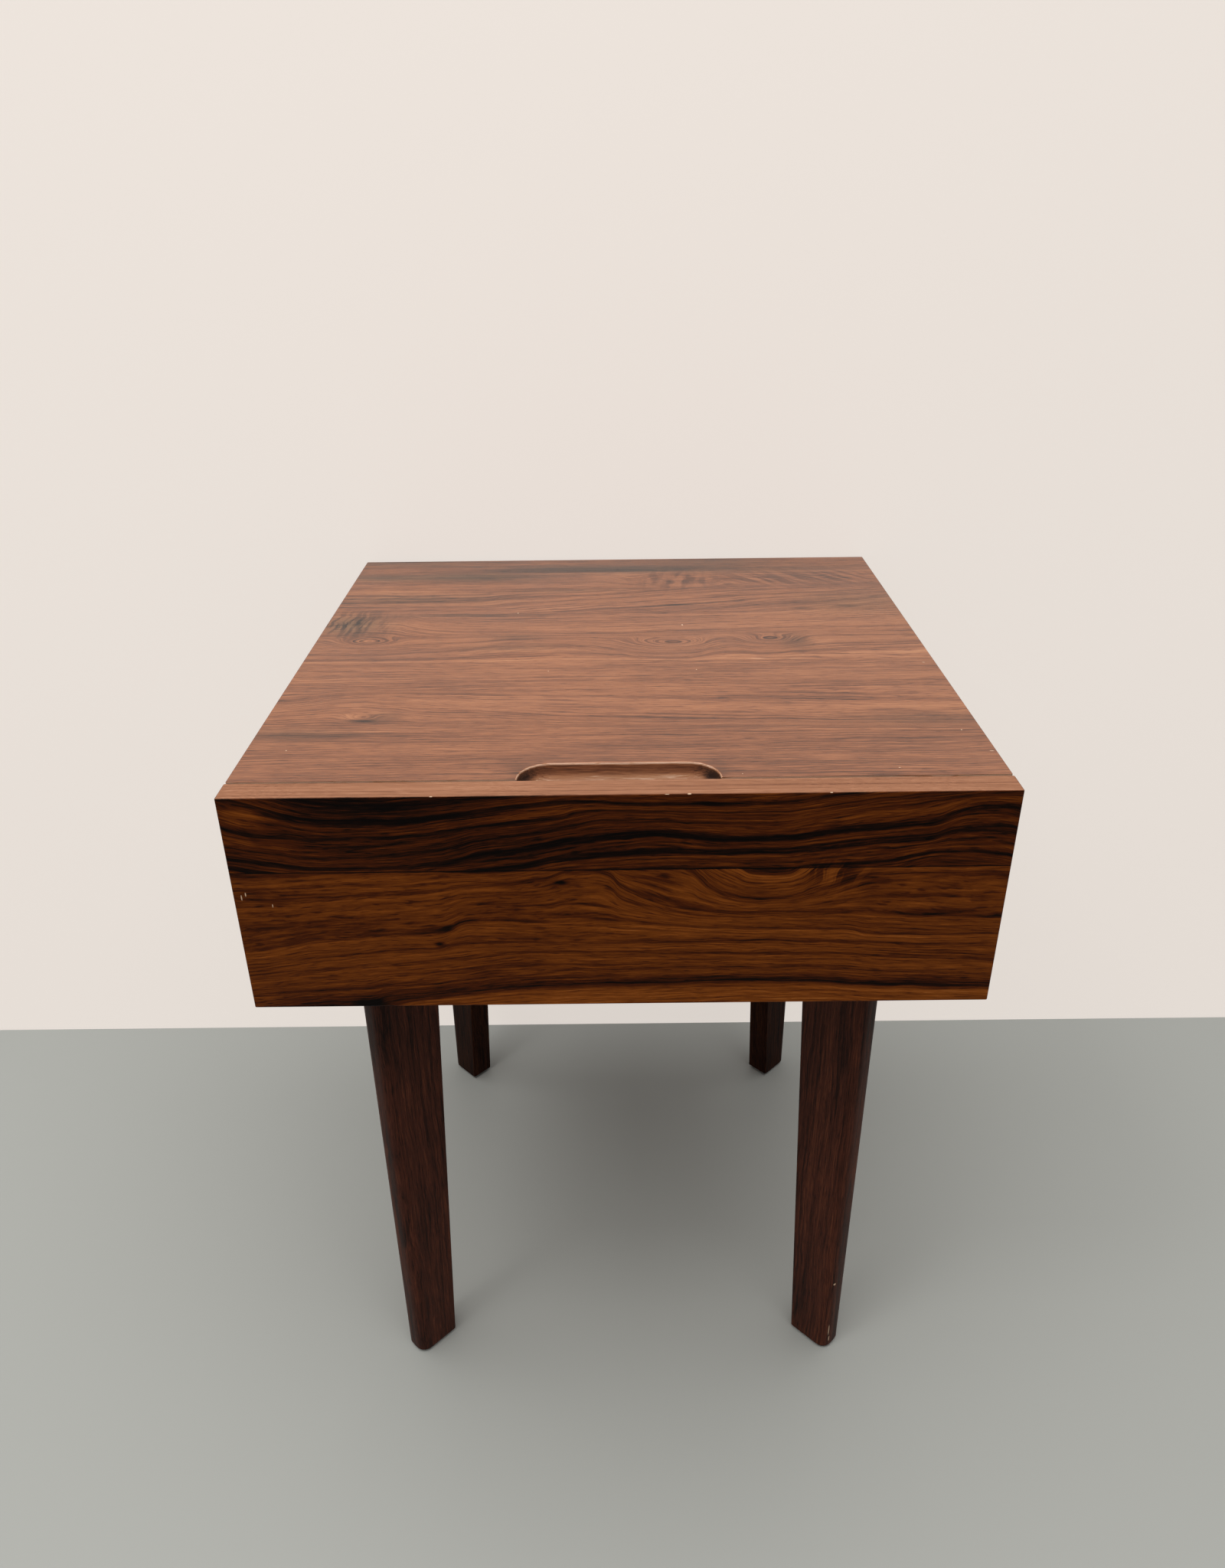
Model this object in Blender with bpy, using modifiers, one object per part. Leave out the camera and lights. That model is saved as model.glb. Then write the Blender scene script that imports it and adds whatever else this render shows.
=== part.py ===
"""Side table with one drawer, modelled as the separate pieces it is built from.

Metres, +Z up. The origin is on the floor under the middle of the table, and the
drawer opens toward -Y. Left and right are as someone facing the drawer sees them.
"""

import math

import bmesh
import bpy
from mathutils import Matrix, Vector

# Whole table. The drawer front covers the case, so it sets the width.
WIDTH = 0.508
DEPTH = 0.508
HEIGHT = 0.6096
BOX_HEIGHT = 0.1651

# Clearances and small edge work.
FIT = 0.0003
EDGE_EASE = 0.001
ROUND_STEPS = 12
TINY = 1e-6

# Case boards.
BOARD = 0.0206
BACK_BOARD = 0.0127
FRONT_OVERHANG = 0.0007
FRONT_GAP = 0.0015

# Finger pull scooped out of the top panel's front edge.
PULL_WIDTH = 0.132
PULL_REACH = 0.0224
PULL_FLOOR = 0.0041
PULL_CORNER = 0.0215
PULL_COVE = 0.0135
PULL_ROUND_STEPS = 7

# Legs: blades on the plan's diagonals, with an upright outer edge.
LEG_TOP_WIDTH = 0.0594
LEG_FOOT_WIDTH = 0.0378
LEG_THICKNESS = 0.0252
LEG_OUTER_ROUND = 0.0093
LEG_ROUND_STEPS = 5
LEG_INNER_EASE = 0.0015
FOOT_EASE = 0.0015
LEG_INSET_SIDE = 0.0617
LEG_INSET_FRONT = 0.0594
LEG_INSET_REAR = 0.0579

# Glides under the feet, each with a nail up into its leg.
GLIDE_RADIUS = 0.009
GLIDE_HEIGHT = 0.0016
GLIDE_NAIL_RADIUS = 0.0012
GLIDE_NAIL_LENGTH = 0.014

# Two bolts hold each leg; their places are measured from the leg's own edges.
BOLT_RADIUS = 0.003
BOLT_GRIP = 0.0114
BOLT_HEAD_RADIUS = 0.007
BOLT_HEAD_HEIGHT = 0.0033
BOLT_FROM_OUTER_EDGE = 0.016
BOLT_FROM_INNER_EDGE = 0.0154
INSERT_RADIUS = 0.005
INSERT_LENGTH = 0.015

# Drawer box.
DRAWER_SIDE = 0.0127
DRAWER_OVER_BOLTS = 0.0059
DRAWER_UNDER_TOP = 0.0128
DRAWER_REAR_SPACE = 0.068
BOTTOM_PANEL = 0.00635
BOTTOM_LIFT = 0.0095
GROOVE_DEPTH = 0.006

# Ball bearing slides, one each side, in the space between case and drawer.
SLIDE_SPACE = 0.0127
SLIDE_HEIGHT = 0.0457
SLIDE_STEEL = 0.0012
SLIDE_BEND = 0.0008
SLIDE_SETBACK = 0.003
SLIDE_STOP = 0.0034
SLIDE_SIDE_GAP = 0.0006
BALL_RADIUS = 0.0016
CAGE_STEEL = 0.0005
CAGE_RUN_OUT = 0.028
BALLS_PER_ROW = 4
BALL_SIDES = 8
BALL_RINGS = 6

# Countersunk screws that fix the slides, and the wood they leave ahead of their tips.
SLIDE_SCREW_RADIUS = 0.00175
SLIDE_SCREW_HEAD_RADIUS = 0.0033
SLIDE_SCREW_HEAD_HEIGHT = 0.0022
SLIDE_SCREW_SKIN = 0.0034
SLIDE_SCREW_FROM_END = 0.040

# Screws that hold the drawer front, placed from the edges of the box front.
FRONT_SCREW_RADIUS = 0.002
FRONT_SCREW_HEAD_RADIUS = 0.0045
FRONT_SCREW_HEAD_HEIGHT = 0.002
FRONT_SCREW_GRIP = 0.013
FRONT_SCREW_FROM_SIDE = 0.057
FRONT_SCREW_FROM_EDGE = 0.0254

# Bumpers between the case and the drawer front.
BUMPER_RADIUS = 0.004
BUMPER_BELOW_TOP = 0.035

# Case, worked out from the sizes above.
BOX_BOTTOM = HEIGHT - BOX_HEIGHT
FRONT_FACE = -DEPTH / 2
FRONT_BACK_FACE = FRONT_FACE + BOARD
CASE_FRONT = FRONT_BACK_FACE + FRONT_GAP
CASE_BACK = DEPTH / 2
CASE_WIDTH = WIDTH - 2 * FRONT_OVERHANG
CASE_DEPTH = CASE_BACK - CASE_FRONT
CASE_MIDDLE_Y = (CASE_FRONT + CASE_BACK) / 2
INSIDE_HALF = CASE_WIDTH / 2 - BOARD
INSIDE_BOTTOM = BOX_BOTTOM + BOARD
INSIDE_TOP = HEIGHT - BOARD
PULL_DEPTH = BOARD - PULL_FLOOR

# Legs, worked out.
LEG_TOP = BOX_BOTTOM - FIT
LEG_BOTTOM = GLIDE_HEIGHT + FIT
LEG_HEIGHT = LEG_TOP - LEG_BOTTOM
LEG_EDGE_X = WIDTH / 2 - LEG_INSET_SIDE
LEG_EDGE_Y = {"front": FRONT_FACE + LEG_INSET_FRONT, "rear": CASE_BACK - LEG_INSET_REAR}
BOLT_INWARD = {"outer": BOLT_FROM_OUTER_EDGE, "inner": LEG_TOP_WIDTH - BOLT_FROM_INNER_EDGE}
BOLT_LENGTH = BOARD + BOLT_GRIP

# Drawer, worked out.
DRAWER_HALF = INSIDE_HALF - SLIDE_SPACE
DRAWER_INNER_HALF = DRAWER_HALF - DRAWER_SIDE
DRAWER_BOX_FRONT = FRONT_BACK_FACE + FIT
DRAWER_BOX_BACK = CASE_BACK - BACK_BOARD - DRAWER_REAR_SPACE
DRAWER_BOX_LENGTH = DRAWER_BOX_BACK - DRAWER_BOX_FRONT
DRAWER_BOX_BOTTOM = INSIDE_BOTTOM + BOLT_HEAD_HEIGHT + FIT + DRAWER_OVER_BOLTS
DRAWER_BOX_TOP = INSIDE_TOP - DRAWER_UNDER_TOP
DRAWER_BOX_HEIGHT = DRAWER_BOX_TOP - DRAWER_BOX_BOTTOM
DRAWER_BOX_MIDDLE_Y = (DRAWER_BOX_FRONT + DRAWER_BOX_BACK) / 2
DRAWER_BOX_MIDDLE_Z = (DRAWER_BOX_BOTTOM + DRAWER_BOX_TOP) / 2

# Slides, worked out. Webs, tips and balls are distances in from the case side.
SLIDE_LENGTH = DRAWER_BOX_LENGTH - SLIDE_SETBACK
DRAWER_TRAVEL = SLIDE_LENGTH - SLIDE_STOP
SLIDE_MIDDLE_Y = CASE_FRONT + SLIDE_SETBACK + SLIDE_LENGTH / 2
CAGE_LENGTH = SLIDE_LENGTH - DRAWER_TRAVEL / 2 - 2 * CAGE_RUN_OUT
RACE = 2 * BALL_RADIUS + 2 * FIT
HALF_STEEL = SLIDE_STEEL / 2
HALF_CAGE = CAGE_STEEL / 2
CABINET_WEB = FIT + HALF_STEEL
OUTER_CAGE_WEB = CABINET_WEB + HALF_STEEL + FIT + HALF_CAGE
MIDDLE_WEB = OUTER_CAGE_WEB + HALF_CAGE + FIT + HALF_STEEL
INNER_CAGE_WEB = MIDDLE_WEB + HALF_STEEL + FIT + HALF_CAGE
DRAWER_WEB = SLIDE_SPACE - FIT - HALF_STEEL
MIDDLE_TIP = DRAWER_WEB - HALF_STEEL - SLIDE_SIDE_GAP
CABINET_TIP = MIDDLE_TIP - SLIDE_SIDE_GAP
OUTER_CAGE_TIP = CABINET_TIP - 2 * SLIDE_SIDE_GAP
INNER_CAGE_TIP = MIDDLE_TIP - SLIDE_SIDE_GAP
DRAWER_TIP = INNER_CAGE_WEB + HALF_CAGE + FIT
CABINET_FLANGE = SLIDE_HEIGHT / 2 - HALF_STEEL
MIDDLE_FLANGE = CABINET_FLANGE - SLIDE_STEEL - RACE
DRAWER_FLANGE = MIDDLE_FLANGE - SLIDE_STEEL - RACE
OUTER_CAGE_FLANGE = (CABINET_FLANGE + MIDDLE_FLANGE) / 2
INNER_CAGE_FLANGE = (MIDDLE_FLANGE + DRAWER_FLANGE) / 2
SLIDE_SCREW_LENGTH = SLIDE_STEEL + FIT + DRAWER_SIDE - SLIDE_SCREW_SKIN

SIDES = {"left": -1, "right": 1}
ENDS = {"front": -1, "rear": 1}

FINISHES = {
    "walnut_top": ("8a583f", 0.35, 0.0),
    "walnut_front": ("5a2f16", 0.35, 0.0),
    "walnut_case": ("6b4028", 0.4, 0.0),
    "walnut_leg": ("3d231a", 0.4, 0.0),
    "drawer_maple": ("c9a577", 0.5, 0.0),
    "zinc_steel": ("b4b8bc", 0.3, 1.0),
    "black_steel": ("2a2a2c", 0.4, 1.0),
    "brass": ("b08d4a", 0.35, 1.0),
    "grey_nylon": ("5b5b5d", 0.6, 0.0),
    "clear_rubber": ("cfcfc8", 0.5, 0.0),
}


def remove_everything():
    """Empty the scene of objects."""
    for existing in list(bpy.data.objects):
        bpy.data.objects.remove(existing, do_unlink=True)


def new_collection(name):
    """Make a collection in the scene."""
    collection = bpy.data.collections.new(name)
    bpy.context.scene.collection.children.link(collection)
    return collection


remove_everything()
PARTS = new_collection("side_table")
CUTTERS = new_collection("cutters")


# ---------------------------------------------------------------- tools

def srgb_to_linear(channel):
    """Turn one sRGB channel from 0 to 1 into a linear one."""
    if channel <= 0.04045:
        return channel / 12.92
    return ((channel + 0.055) / 1.055) ** 2.4


def new_material(name, hex_colour, roughness, metallic):
    """Make a Principled material from an sRGB hex colour."""
    channels = [int(hex_colour[start:start + 2], 16) / 255 for start in (0, 2, 4)]
    colour = [srgb_to_linear(channel) for channel in channels] + [1.0]
    material = bpy.data.materials.new(name)
    material.use_nodes = True
    shader = material.node_tree.nodes["Principled BSDF"]
    shader.inputs["Base Color"].default_value = colour
    shader.inputs["Roughness"].default_value = roughness
    shader.inputs["Metallic"].default_value = metallic
    material.diffuse_color = colour
    return material


def add_object(name, mesh, centre, finish_name):
    """Link a mesh as one of the table's pieces, or as a cutter if it has no finish."""
    obj = bpy.data.objects.new(name, mesh)
    obj.location = centre
    if finish_name is None:
        CUTTERS.objects.link(obj)
        obj.hide_render = True
        obj.display_type = "WIRE"
        return obj
    PARTS.objects.link(obj)
    obj.data.materials.append(new_material(name, *FINISHES[finish_name]))
    return obj


def mesh_from(name, shape):
    """Turn a bmesh into a mesh with outward faces, smooth except at its corners."""
    bmesh.ops.recalc_face_normals(shape, faces=shape.faces)
    mesh = bpy.data.meshes.new(name)
    shape.to_mesh(mesh)
    shape.free()
    mesh.shade_smooth()
    mesh.set_sharp_from_angle(angle=math.radians(35))
    return mesh


def cube(size):
    """Start a box of the given size about its own centre."""
    shape = bmesh.new()
    bmesh.ops.create_cube(shape, size=1.0, matrix=Matrix.Diagonal((*size, 1.0)))
    return shape


def box(name, size, centre, finish_name=None):
    """A plain rectangular piece or cutter."""
    return add_object(name, mesh_from(name, cube(size)), centre, finish_name)


def upright_edges(shape, least_height):
    """The edges of a shape that rise by more than a given height."""
    return [edge for edge in shape.edges
            if abs(edge.verts[0].co.z - edge.verts[1].co.z) > least_height]


def floor_edges(shape):
    """The edges round a shape's lowest face."""
    floor = min(corner.co.z for corner in shape.verts)
    return [edge for edge in shape.edges
            if all(corner.co.z < floor + TINY for corner in edge.verts)]


def round_edges(shape, edges, radius, segments):
    """Round or chamfer edges of a bmesh."""
    bmesh.ops.bevel(shape, geom=edges, offset=radius, segments=segments, profile=0.5, affect="EDGES")


def boolean(target, tool, operation="DIFFERENCE"):
    """Cut a tool out of a piece, or join it on."""
    step = target.modifiers.new(tool.name, "BOOLEAN")
    step.operation = operation
    step.solver = "EXACT"
    step.object = tool


def turned(name, profile, centre, finish_name=None, rotation=(0.0, 0.0, 0.0), closed=False):
    """A piece turned about its Z axis; the profile's (radius, height) points run downward."""
    shape = bmesh.new()
    corners = [shape.verts.new((radius, 0.0, height)) for radius, height in profile]
    for upper, lower in zip(corners, corners[1:]):
        shape.edges.new((upper, lower))
    if closed:
        shape.edges.new((corners[-1], corners[0]))
    mesh = bpy.data.meshes.new(name)
    shape.to_mesh(mesh)
    shape.free()
    obj = add_object(name, mesh, centre, finish_name)
    obj.rotation_euler = rotation
    screw = obj.modifiers.new("Turn", "SCREW")
    screw.steps = ROUND_STEPS
    screw.render_steps = ROUND_STEPS
    screw.use_merge_vertices = True
    screw.merge_threshold = 0.00001
    screw.use_smooth_shade = True
    return obj


def plug_profile(radius, top, bottom):
    """The profile of a plain round hole or pin."""
    return [(0.0, top), (radius, top), (radius, bottom), (0.0, bottom)]


def headed_profile(head_radius, head_height, radius, length):
    """The profile of a bolt or screw hung from the underside of its domed head."""
    return [(0.0, head_height), (head_radius * 0.6, head_height), (head_radius, 0.0),
            (radius, 0.0), (radius, -length), (0.0, -length)]


def carry(name, origin, pieces):
    """Hang pieces on an empty on their joint's axis, without moving them."""
    mover = bpy.data.objects.new(name, None)
    mover.location = origin
    PARTS.objects.link(mover)
    for piece in pieces:
        piece.parent = mover
        piece.location = piece.location - Vector(origin)


# ---------------------------------------------------------------- case

def mitred_board(name, outer_width, turn, centre, finish_name):
    """A case board mitred at both ends; turn is its angle about Y from face up."""
    half_outer = outer_width / 2 - FIT / math.sqrt(2)
    half_inner = half_outer - BOARD
    shape = cube((2 * half_outer, CASE_DEPTH, BOARD))
    for corner in shape.verts:
        if corner.co.z < 0:
            corner.co.x = math.copysign(half_inner, corner.co.x)
    board = add_object(name, mesh_from(name, shape), centre, finish_name)
    board.rotation_euler = (0.0, math.radians(turn), 0.0)
    return board


def finger_pull_cutter():
    """The scoop: a round cornered slot whose walls run down into its floor as a cove."""
    ahead = PULL_CORNER + PULL_COVE
    above = BOARD / 2
    shape = cube((PULL_WIDTH, PULL_REACH + ahead, PULL_DEPTH + above))
    round_edges(shape, upright_edges(shape, TINY), PULL_CORNER, PULL_ROUND_STEPS)
    round_edges(shape, floor_edges(shape), PULL_COVE, PULL_ROUND_STEPS)
    centre = (0.0, CASE_FRONT + (PULL_REACH - ahead) / 2, HEIGHT + (above - PULL_DEPTH) / 2)
    name = "finger_pull_cutter"
    return add_object(name, mesh_from(name, shape), centre, None)


def build_case():
    """Four mitred boards round a back panel that is let in flush."""
    top_centre = (0.0, CASE_MIDDLE_Y, HEIGHT - BOARD / 2)
    top = mitred_board("top_panel", CASE_WIDTH, 0, top_centre, "walnut_top")
    boolean(top, finger_pull_cutter())
    bottom_centre = (0.0, CASE_MIDDLE_Y, BOX_BOTTOM + BOARD / 2)
    bottom = mitred_board("bottom_panel", CASE_WIDTH, 180, bottom_centre, "walnut_case")
    sides = {}
    for side, sign in SIDES.items():
        centre = (sign * (CASE_WIDTH / 2 - BOARD / 2), CASE_MIDDLE_Y, HEIGHT - BOX_HEIGHT / 2)
        sides[side] = mitred_board(side + "_side", BOX_HEIGHT, sign * 90, centre, "walnut_case")
    back_size = (2 * (INSIDE_HALF - FIT), BACK_BOARD, INSIDE_TOP - INSIDE_BOTTOM - 2 * FIT)
    back_centre = (0.0, CASE_BACK - BACK_BOARD / 2, (INSIDE_TOP + INSIDE_BOTTOM) / 2)
    box("back_panel", back_size, back_centre, "walnut_case")
    return bottom, sides


def build_bumpers():
    """Soft bumpers on the case's front edges, just short of the drawer front."""
    half_thickness = FRONT_GAP / 2 - FIT
    profile = [(0.0, half_thickness), (BUMPER_RADIUS * 0.75, half_thickness),
               (BUMPER_RADIUS, -half_thickness), (0.0, -half_thickness)]
    for side, sign in SIDES.items():
        centre = (sign * (INSIDE_HALF + BOARD / 2), CASE_FRONT - FRONT_GAP / 2, HEIGHT - BUMPER_BELOW_TOP)
        turned(side + "_bumper", profile, centre, "clear_rubber", (math.radians(90), 0.0, 0.0))


# ---------------------------------------------------------------- legs

def leg_mesh(name):
    """One leg about the middle of its outer edge: local +X points away from the table."""
    shape = cube((LEG_TOP_WIDTH, LEG_THICKNESS, LEG_HEIGHT))
    bmesh.ops.translate(shape, verts=shape.verts, vec=(-LEG_TOP_WIDTH / 2, 0.0, 0.0))
    for corner in shape.verts:
        if corner.co.z < 0 and corner.co.x < -TINY:
            corner.co.x = -LEG_FOOT_WIDTH
    outer = [edge for edge in upright_edges(shape, LEG_HEIGHT / 2) if edge.verts[0].co.x > -TINY]
    round_edges(shape, outer, LEG_OUTER_ROUND, LEG_ROUND_STEPS)
    inner = [edge for edge in upright_edges(shape, LEG_HEIGHT / 2)
             if edge.verts[0].co.x < TINY - LEG_FOOT_WIDTH]
    round_edges(shape, inner, LEG_INNER_EASE, 2)
    round_edges(shape, floor_edges(shape), FOOT_EASE, 1)
    return mesh_from(name, shape)


def build_glide(place, leg, foot):
    """A turned glide under a foot, with the nail hole above it."""
    nail_top = GLIDE_HEIGHT + GLIDE_NAIL_LENGTH
    profile = [(0.0, nail_top), (GLIDE_NAIL_RADIUS, nail_top), (GLIDE_NAIL_RADIUS, GLIDE_HEIGHT),
               (GLIDE_RADIUS, GLIDE_HEIGHT), (GLIDE_RADIUS * 0.92, 0.0), (0.0, 0.0)]
    hole = plug_profile(GLIDE_NAIL_RADIUS + FIT, nail_top + FIT, 0.0)
    turned("glide_" + place, profile, foot, "grey_nylon")
    boolean(leg, turned("nail_hole_" + place, hole, foot))


def build_leg_bolt(tag, leg, bottom, over):
    """A bolt through the bottom panel into the threaded insert in a leg's top."""
    bolt = headed_profile(BOLT_HEAD_RADIUS, BOLT_HEAD_HEIGHT, BOLT_RADIUS, BOLT_LENGTH)
    bolt_hole = plug_profile(BOLT_RADIUS + FIT, BOARD / 2, -1.5 * BOARD)
    insert = [(INSERT_RADIUS, 0.0), (INSERT_RADIUS, -INSERT_LENGTH),
              (BOLT_RADIUS + FIT, -INSERT_LENGTH), (BOLT_RADIUS + FIT, 0.0)]
    insert_hole = plug_profile(INSERT_RADIUS + FIT, 2 * FIT, -INSERT_LENGTH - FIT)
    seat = over + Vector((0.0, 0.0, INSIDE_BOTTOM + FIT))
    mouth = over + Vector((0.0, 0.0, LEG_TOP - FIT))
    turned("leg_bolt_" + tag, bolt, seat, "zinc_steel")
    turned("leg_insert_" + tag, insert, mouth, "brass", closed=True)
    boolean(bottom, turned("bolt_hole_" + tag, bolt_hole, seat))
    boolean(leg, turned("insert_hole_" + tag, insert_hole, mouth))


def build_legs(bottom):
    """Four legs, each with its glide, its inserts and the bolts that come down into them."""
    for end, end_sign in ENDS.items():
        for side, side_sign in SIDES.items():
            place = end + "_" + side
            outward = Vector((side_sign, end_sign, 0.0)).normalized()
            edge = Vector((side_sign * LEG_EDGE_X, LEG_EDGE_Y[end], 0.0))
            middle = edge + Vector((0.0, 0.0, (LEG_TOP + LEG_BOTTOM) / 2))
            leg = add_object("leg_" + place, leg_mesh("leg_" + place), middle, "walnut_leg")
            leg.rotation_euler = (0.0, 0.0, math.atan2(outward.y, outward.x))
            build_glide(place, leg, edge - outward * (LEG_FOOT_WIDTH / 2))
            for row, inward in BOLT_INWARD.items():
                build_leg_bolt(place + "_" + row, leg, bottom, edge - outward * inward)


# ---------------------------------------------------------------- slides

def channel(name, side_sign, web, tip, flange, length, steel):
    """A U channel along Y, given by the middle of its sheet."""
    shape = bmesh.new()
    outline = [(tip, flange), (web, flange), (web, -flange), (tip, -flange)]
    rear = [shape.verts.new((-side_sign * inward, length / 2, height)) for inward, height in outline]
    edges = [shape.edges.new(pair) for pair in zip(rear, rear[1:])]
    swept = bmesh.ops.extrude_edge_only(shape, edges=edges)["geom"]
    front = [item for item in swept if isinstance(item, bmesh.types.BMVert)]
    bmesh.ops.translate(shape, verts=front, vec=(0.0, -length, 0.0))
    origin = (side_sign * INSIDE_HALF, SLIDE_MIDDLE_Y, DRAWER_BOX_MIDDLE_Z)
    obj = add_object(name, mesh_from(name, shape), origin, "zinc_steel")
    bend = obj.modifiers.new("Bend", "BEVEL")
    bend.width = SLIDE_BEND
    bend.segments = 1
    sheet = obj.modifiers.new("Sheet", "SOLIDIFY")
    sheet.thickness = steel
    sheet.offset = 0.0
    sheet.use_even_offset = True
    return obj


def add_balls(cage, side_sign, inward, flange):
    """Join two rows of balls to a cage, which holds them in its flanges."""
    balls = bmesh.new()
    pitch = CAGE_LENGTH / BALLS_PER_ROW
    for row in (-1, 1):
        for count in range(BALLS_PER_ROW):
            along = (count - (BALLS_PER_ROW - 1) / 2) * pitch
            place = Matrix.Translation((-side_sign * inward, along, row * flange))
            bmesh.ops.create_uvsphere(
                balls, u_segments=BALL_SIDES, v_segments=BALL_RINGS, radius=BALL_RADIUS, matrix=place)
    name = cage.name + "_balls"
    tool = add_object(name, mesh_from(name, balls), cage.location, None)
    boolean(cage, tool, "UNION")
    return tool


def slide_screw(name, head_x, into_sign, place_y, fixed_pieces):
    """A countersunk screw along X, flush at head_x, and its hole through what it fixes."""
    neck = -SLIDE_SCREW_HEAD_HEIGHT
    profile = [(0.0, 0.0), (SLIDE_SCREW_HEAD_RADIUS, 0.0), (SLIDE_SCREW_RADIUS, neck),
               (SLIDE_SCREW_RADIUS, -SLIDE_SCREW_LENGTH), (0.0, -SLIDE_SCREW_LENGTH)]
    slope = (SLIDE_SCREW_HEAD_RADIUS - SLIDE_SCREW_RADIUS) / SLIDE_SCREW_HEAD_HEIGHT
    mouth = SLIDE_SCREW_HEAD_RADIUS + 2 * FIT + slope * FIT
    tip = -SLIDE_SCREW_LENGTH - FIT
    hole = [(0.0, FIT), (mouth, FIT), (SLIDE_SCREW_RADIUS + FIT, neck - FIT),
            (SLIDE_SCREW_RADIUS + FIT, tip), (0.0, tip)]
    centre = (head_x, place_y, DRAWER_BOX_MIDDLE_Z)
    rotation = (0.0, math.radians(-90 * into_sign), 0.0)
    screw = turned(name, profile, centre, "zinc_steel", rotation)
    cutter = turned(name + "_hole", hole, centre, None, rotation)
    for piece in fixed_pieces:
        boolean(piece, cutter)
    return [screw, cutter]


def build_slide(side, side_sign, case_side, drawer_side):
    """One three member slide with its ball cages and screws; returns what the drawer carries."""
    label = side + "_slide_"
    cabinet = channel(label + "cabinet_member", side_sign, CABINET_WEB, CABINET_TIP,
                      CABINET_FLANGE, SLIDE_LENGTH, SLIDE_STEEL)
    middle = channel(label + "middle_member", side_sign, MIDDLE_WEB, MIDDLE_TIP,
                     MIDDLE_FLANGE, SLIDE_LENGTH, SLIDE_STEEL)
    member = channel(label + "drawer_member", side_sign, DRAWER_WEB, DRAWER_TIP,
                     DRAWER_FLANGE, SLIDE_LENGTH, SLIDE_STEEL)
    outer = channel(label + "outer_cage", side_sign, OUTER_CAGE_WEB, OUTER_CAGE_TIP,
                    OUTER_CAGE_FLANGE, CAGE_LENGTH, CAGE_STEEL)
    inner = channel(label + "inner_cage", side_sign, INNER_CAGE_WEB, INNER_CAGE_TIP,
                    INNER_CAGE_FLANGE, CAGE_LENGTH, CAGE_STEEL)
    outer_balls = add_balls(outer, side_sign, (MIDDLE_WEB + OUTER_CAGE_TIP) / 2, OUTER_CAGE_FLANGE)
    inner_balls = add_balls(inner, side_sign, (DRAWER_TIP + INNER_CAGE_TIP) / 2, INNER_CAGE_FLANGE)

    cabinet_face = side_sign * (INSIDE_HALF - CABINET_WEB - HALF_STEEL)
    drawer_face = side_sign * (INSIDE_HALF - DRAWER_WEB + HALF_STEEL)
    drawer_pieces = [member]
    for end, end_sign in ENDS.items():
        place_y = SLIDE_MIDDLE_Y + end_sign * (SLIDE_LENGTH / 2 - SLIDE_SCREW_FROM_END)
        slide_screw(side + "_cabinet_screw_" + end, cabinet_face, side_sign, place_y, [cabinet, case_side])
        drawer_pieces += slide_screw(side + "_drawer_screw_" + end, drawer_face, -side_sign, place_y,
                                     [member, drawer_side])
    axis_point = (side_sign * INSIDE_HALF, SLIDE_MIDDLE_Y, DRAWER_BOX_MIDDLE_Z)
    carry(side + "_middle_motion", axis_point, [middle])
    carry(side + "_outer_cage_motion", axis_point, [outer, outer_balls])
    carry(side + "_inner_cage_motion", axis_point, [inner, inner_balls])
    return drawer_pieces


# ---------------------------------------------------------------- drawer

def build_drawer():
    """The walnut front and the grooved box behind it."""
    front_size = (WIDTH, BOARD, BOX_HEIGHT)
    front_centre = (0.0, FRONT_FACE + BOARD / 2, HEIGHT - BOX_HEIGHT / 2)
    front = box("drawer_front", front_size, front_centre, "walnut_front")
    ease = front.modifiers.new("Ease", "BEVEL")
    ease.width = EDGE_EASE
    ease.segments = 2
    pieces = {"front": front}

    side_size = (DRAWER_SIDE, DRAWER_BOX_LENGTH, DRAWER_BOX_HEIGHT)
    for side, sign in SIDES.items():
        centre = (sign * (DRAWER_HALF - DRAWER_SIDE / 2), DRAWER_BOX_MIDDLE_Y, DRAWER_BOX_MIDDLE_Z)
        pieces[side] = box("drawer_box_" + side, side_size, centre, "drawer_maple")
    end_size = (2 * (DRAWER_INNER_HALF - FIT), DRAWER_SIDE, DRAWER_BOX_HEIGHT)
    ends_y = {"box_front": DRAWER_BOX_FRONT + DRAWER_SIDE / 2, "box_back": DRAWER_BOX_BACK - DRAWER_SIDE / 2}
    for end, end_y in ends_y.items():
        pieces[end] = box("drawer_" + end, end_size, (0.0, end_y, DRAWER_BOX_MIDDLE_Z), "drawer_maple")

    groove_size = (2 * (DRAWER_INNER_HALF + GROOVE_DEPTH),
                   DRAWER_BOX_LENGTH - 2 * (DRAWER_SIDE - GROOVE_DEPTH),
                   BOTTOM_PANEL + 2 * FIT)
    bottom_size = [length - 2 * FIT for length in groove_size]
    bottom_centre = (0.0, DRAWER_BOX_MIDDLE_Y, DRAWER_BOX_BOTTOM + BOTTOM_LIFT + BOTTOM_PANEL / 2)
    groove = box("drawer_bottom_groove", groove_size, bottom_centre)
    for name in ("left", "right", "box_front", "box_back"):
        boolean(pieces[name], groove)
    pieces["bottom"] = box("drawer_bottom", bottom_size, bottom_centre, "drawer_maple")
    pieces["groove"] = groove
    return pieces


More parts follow.
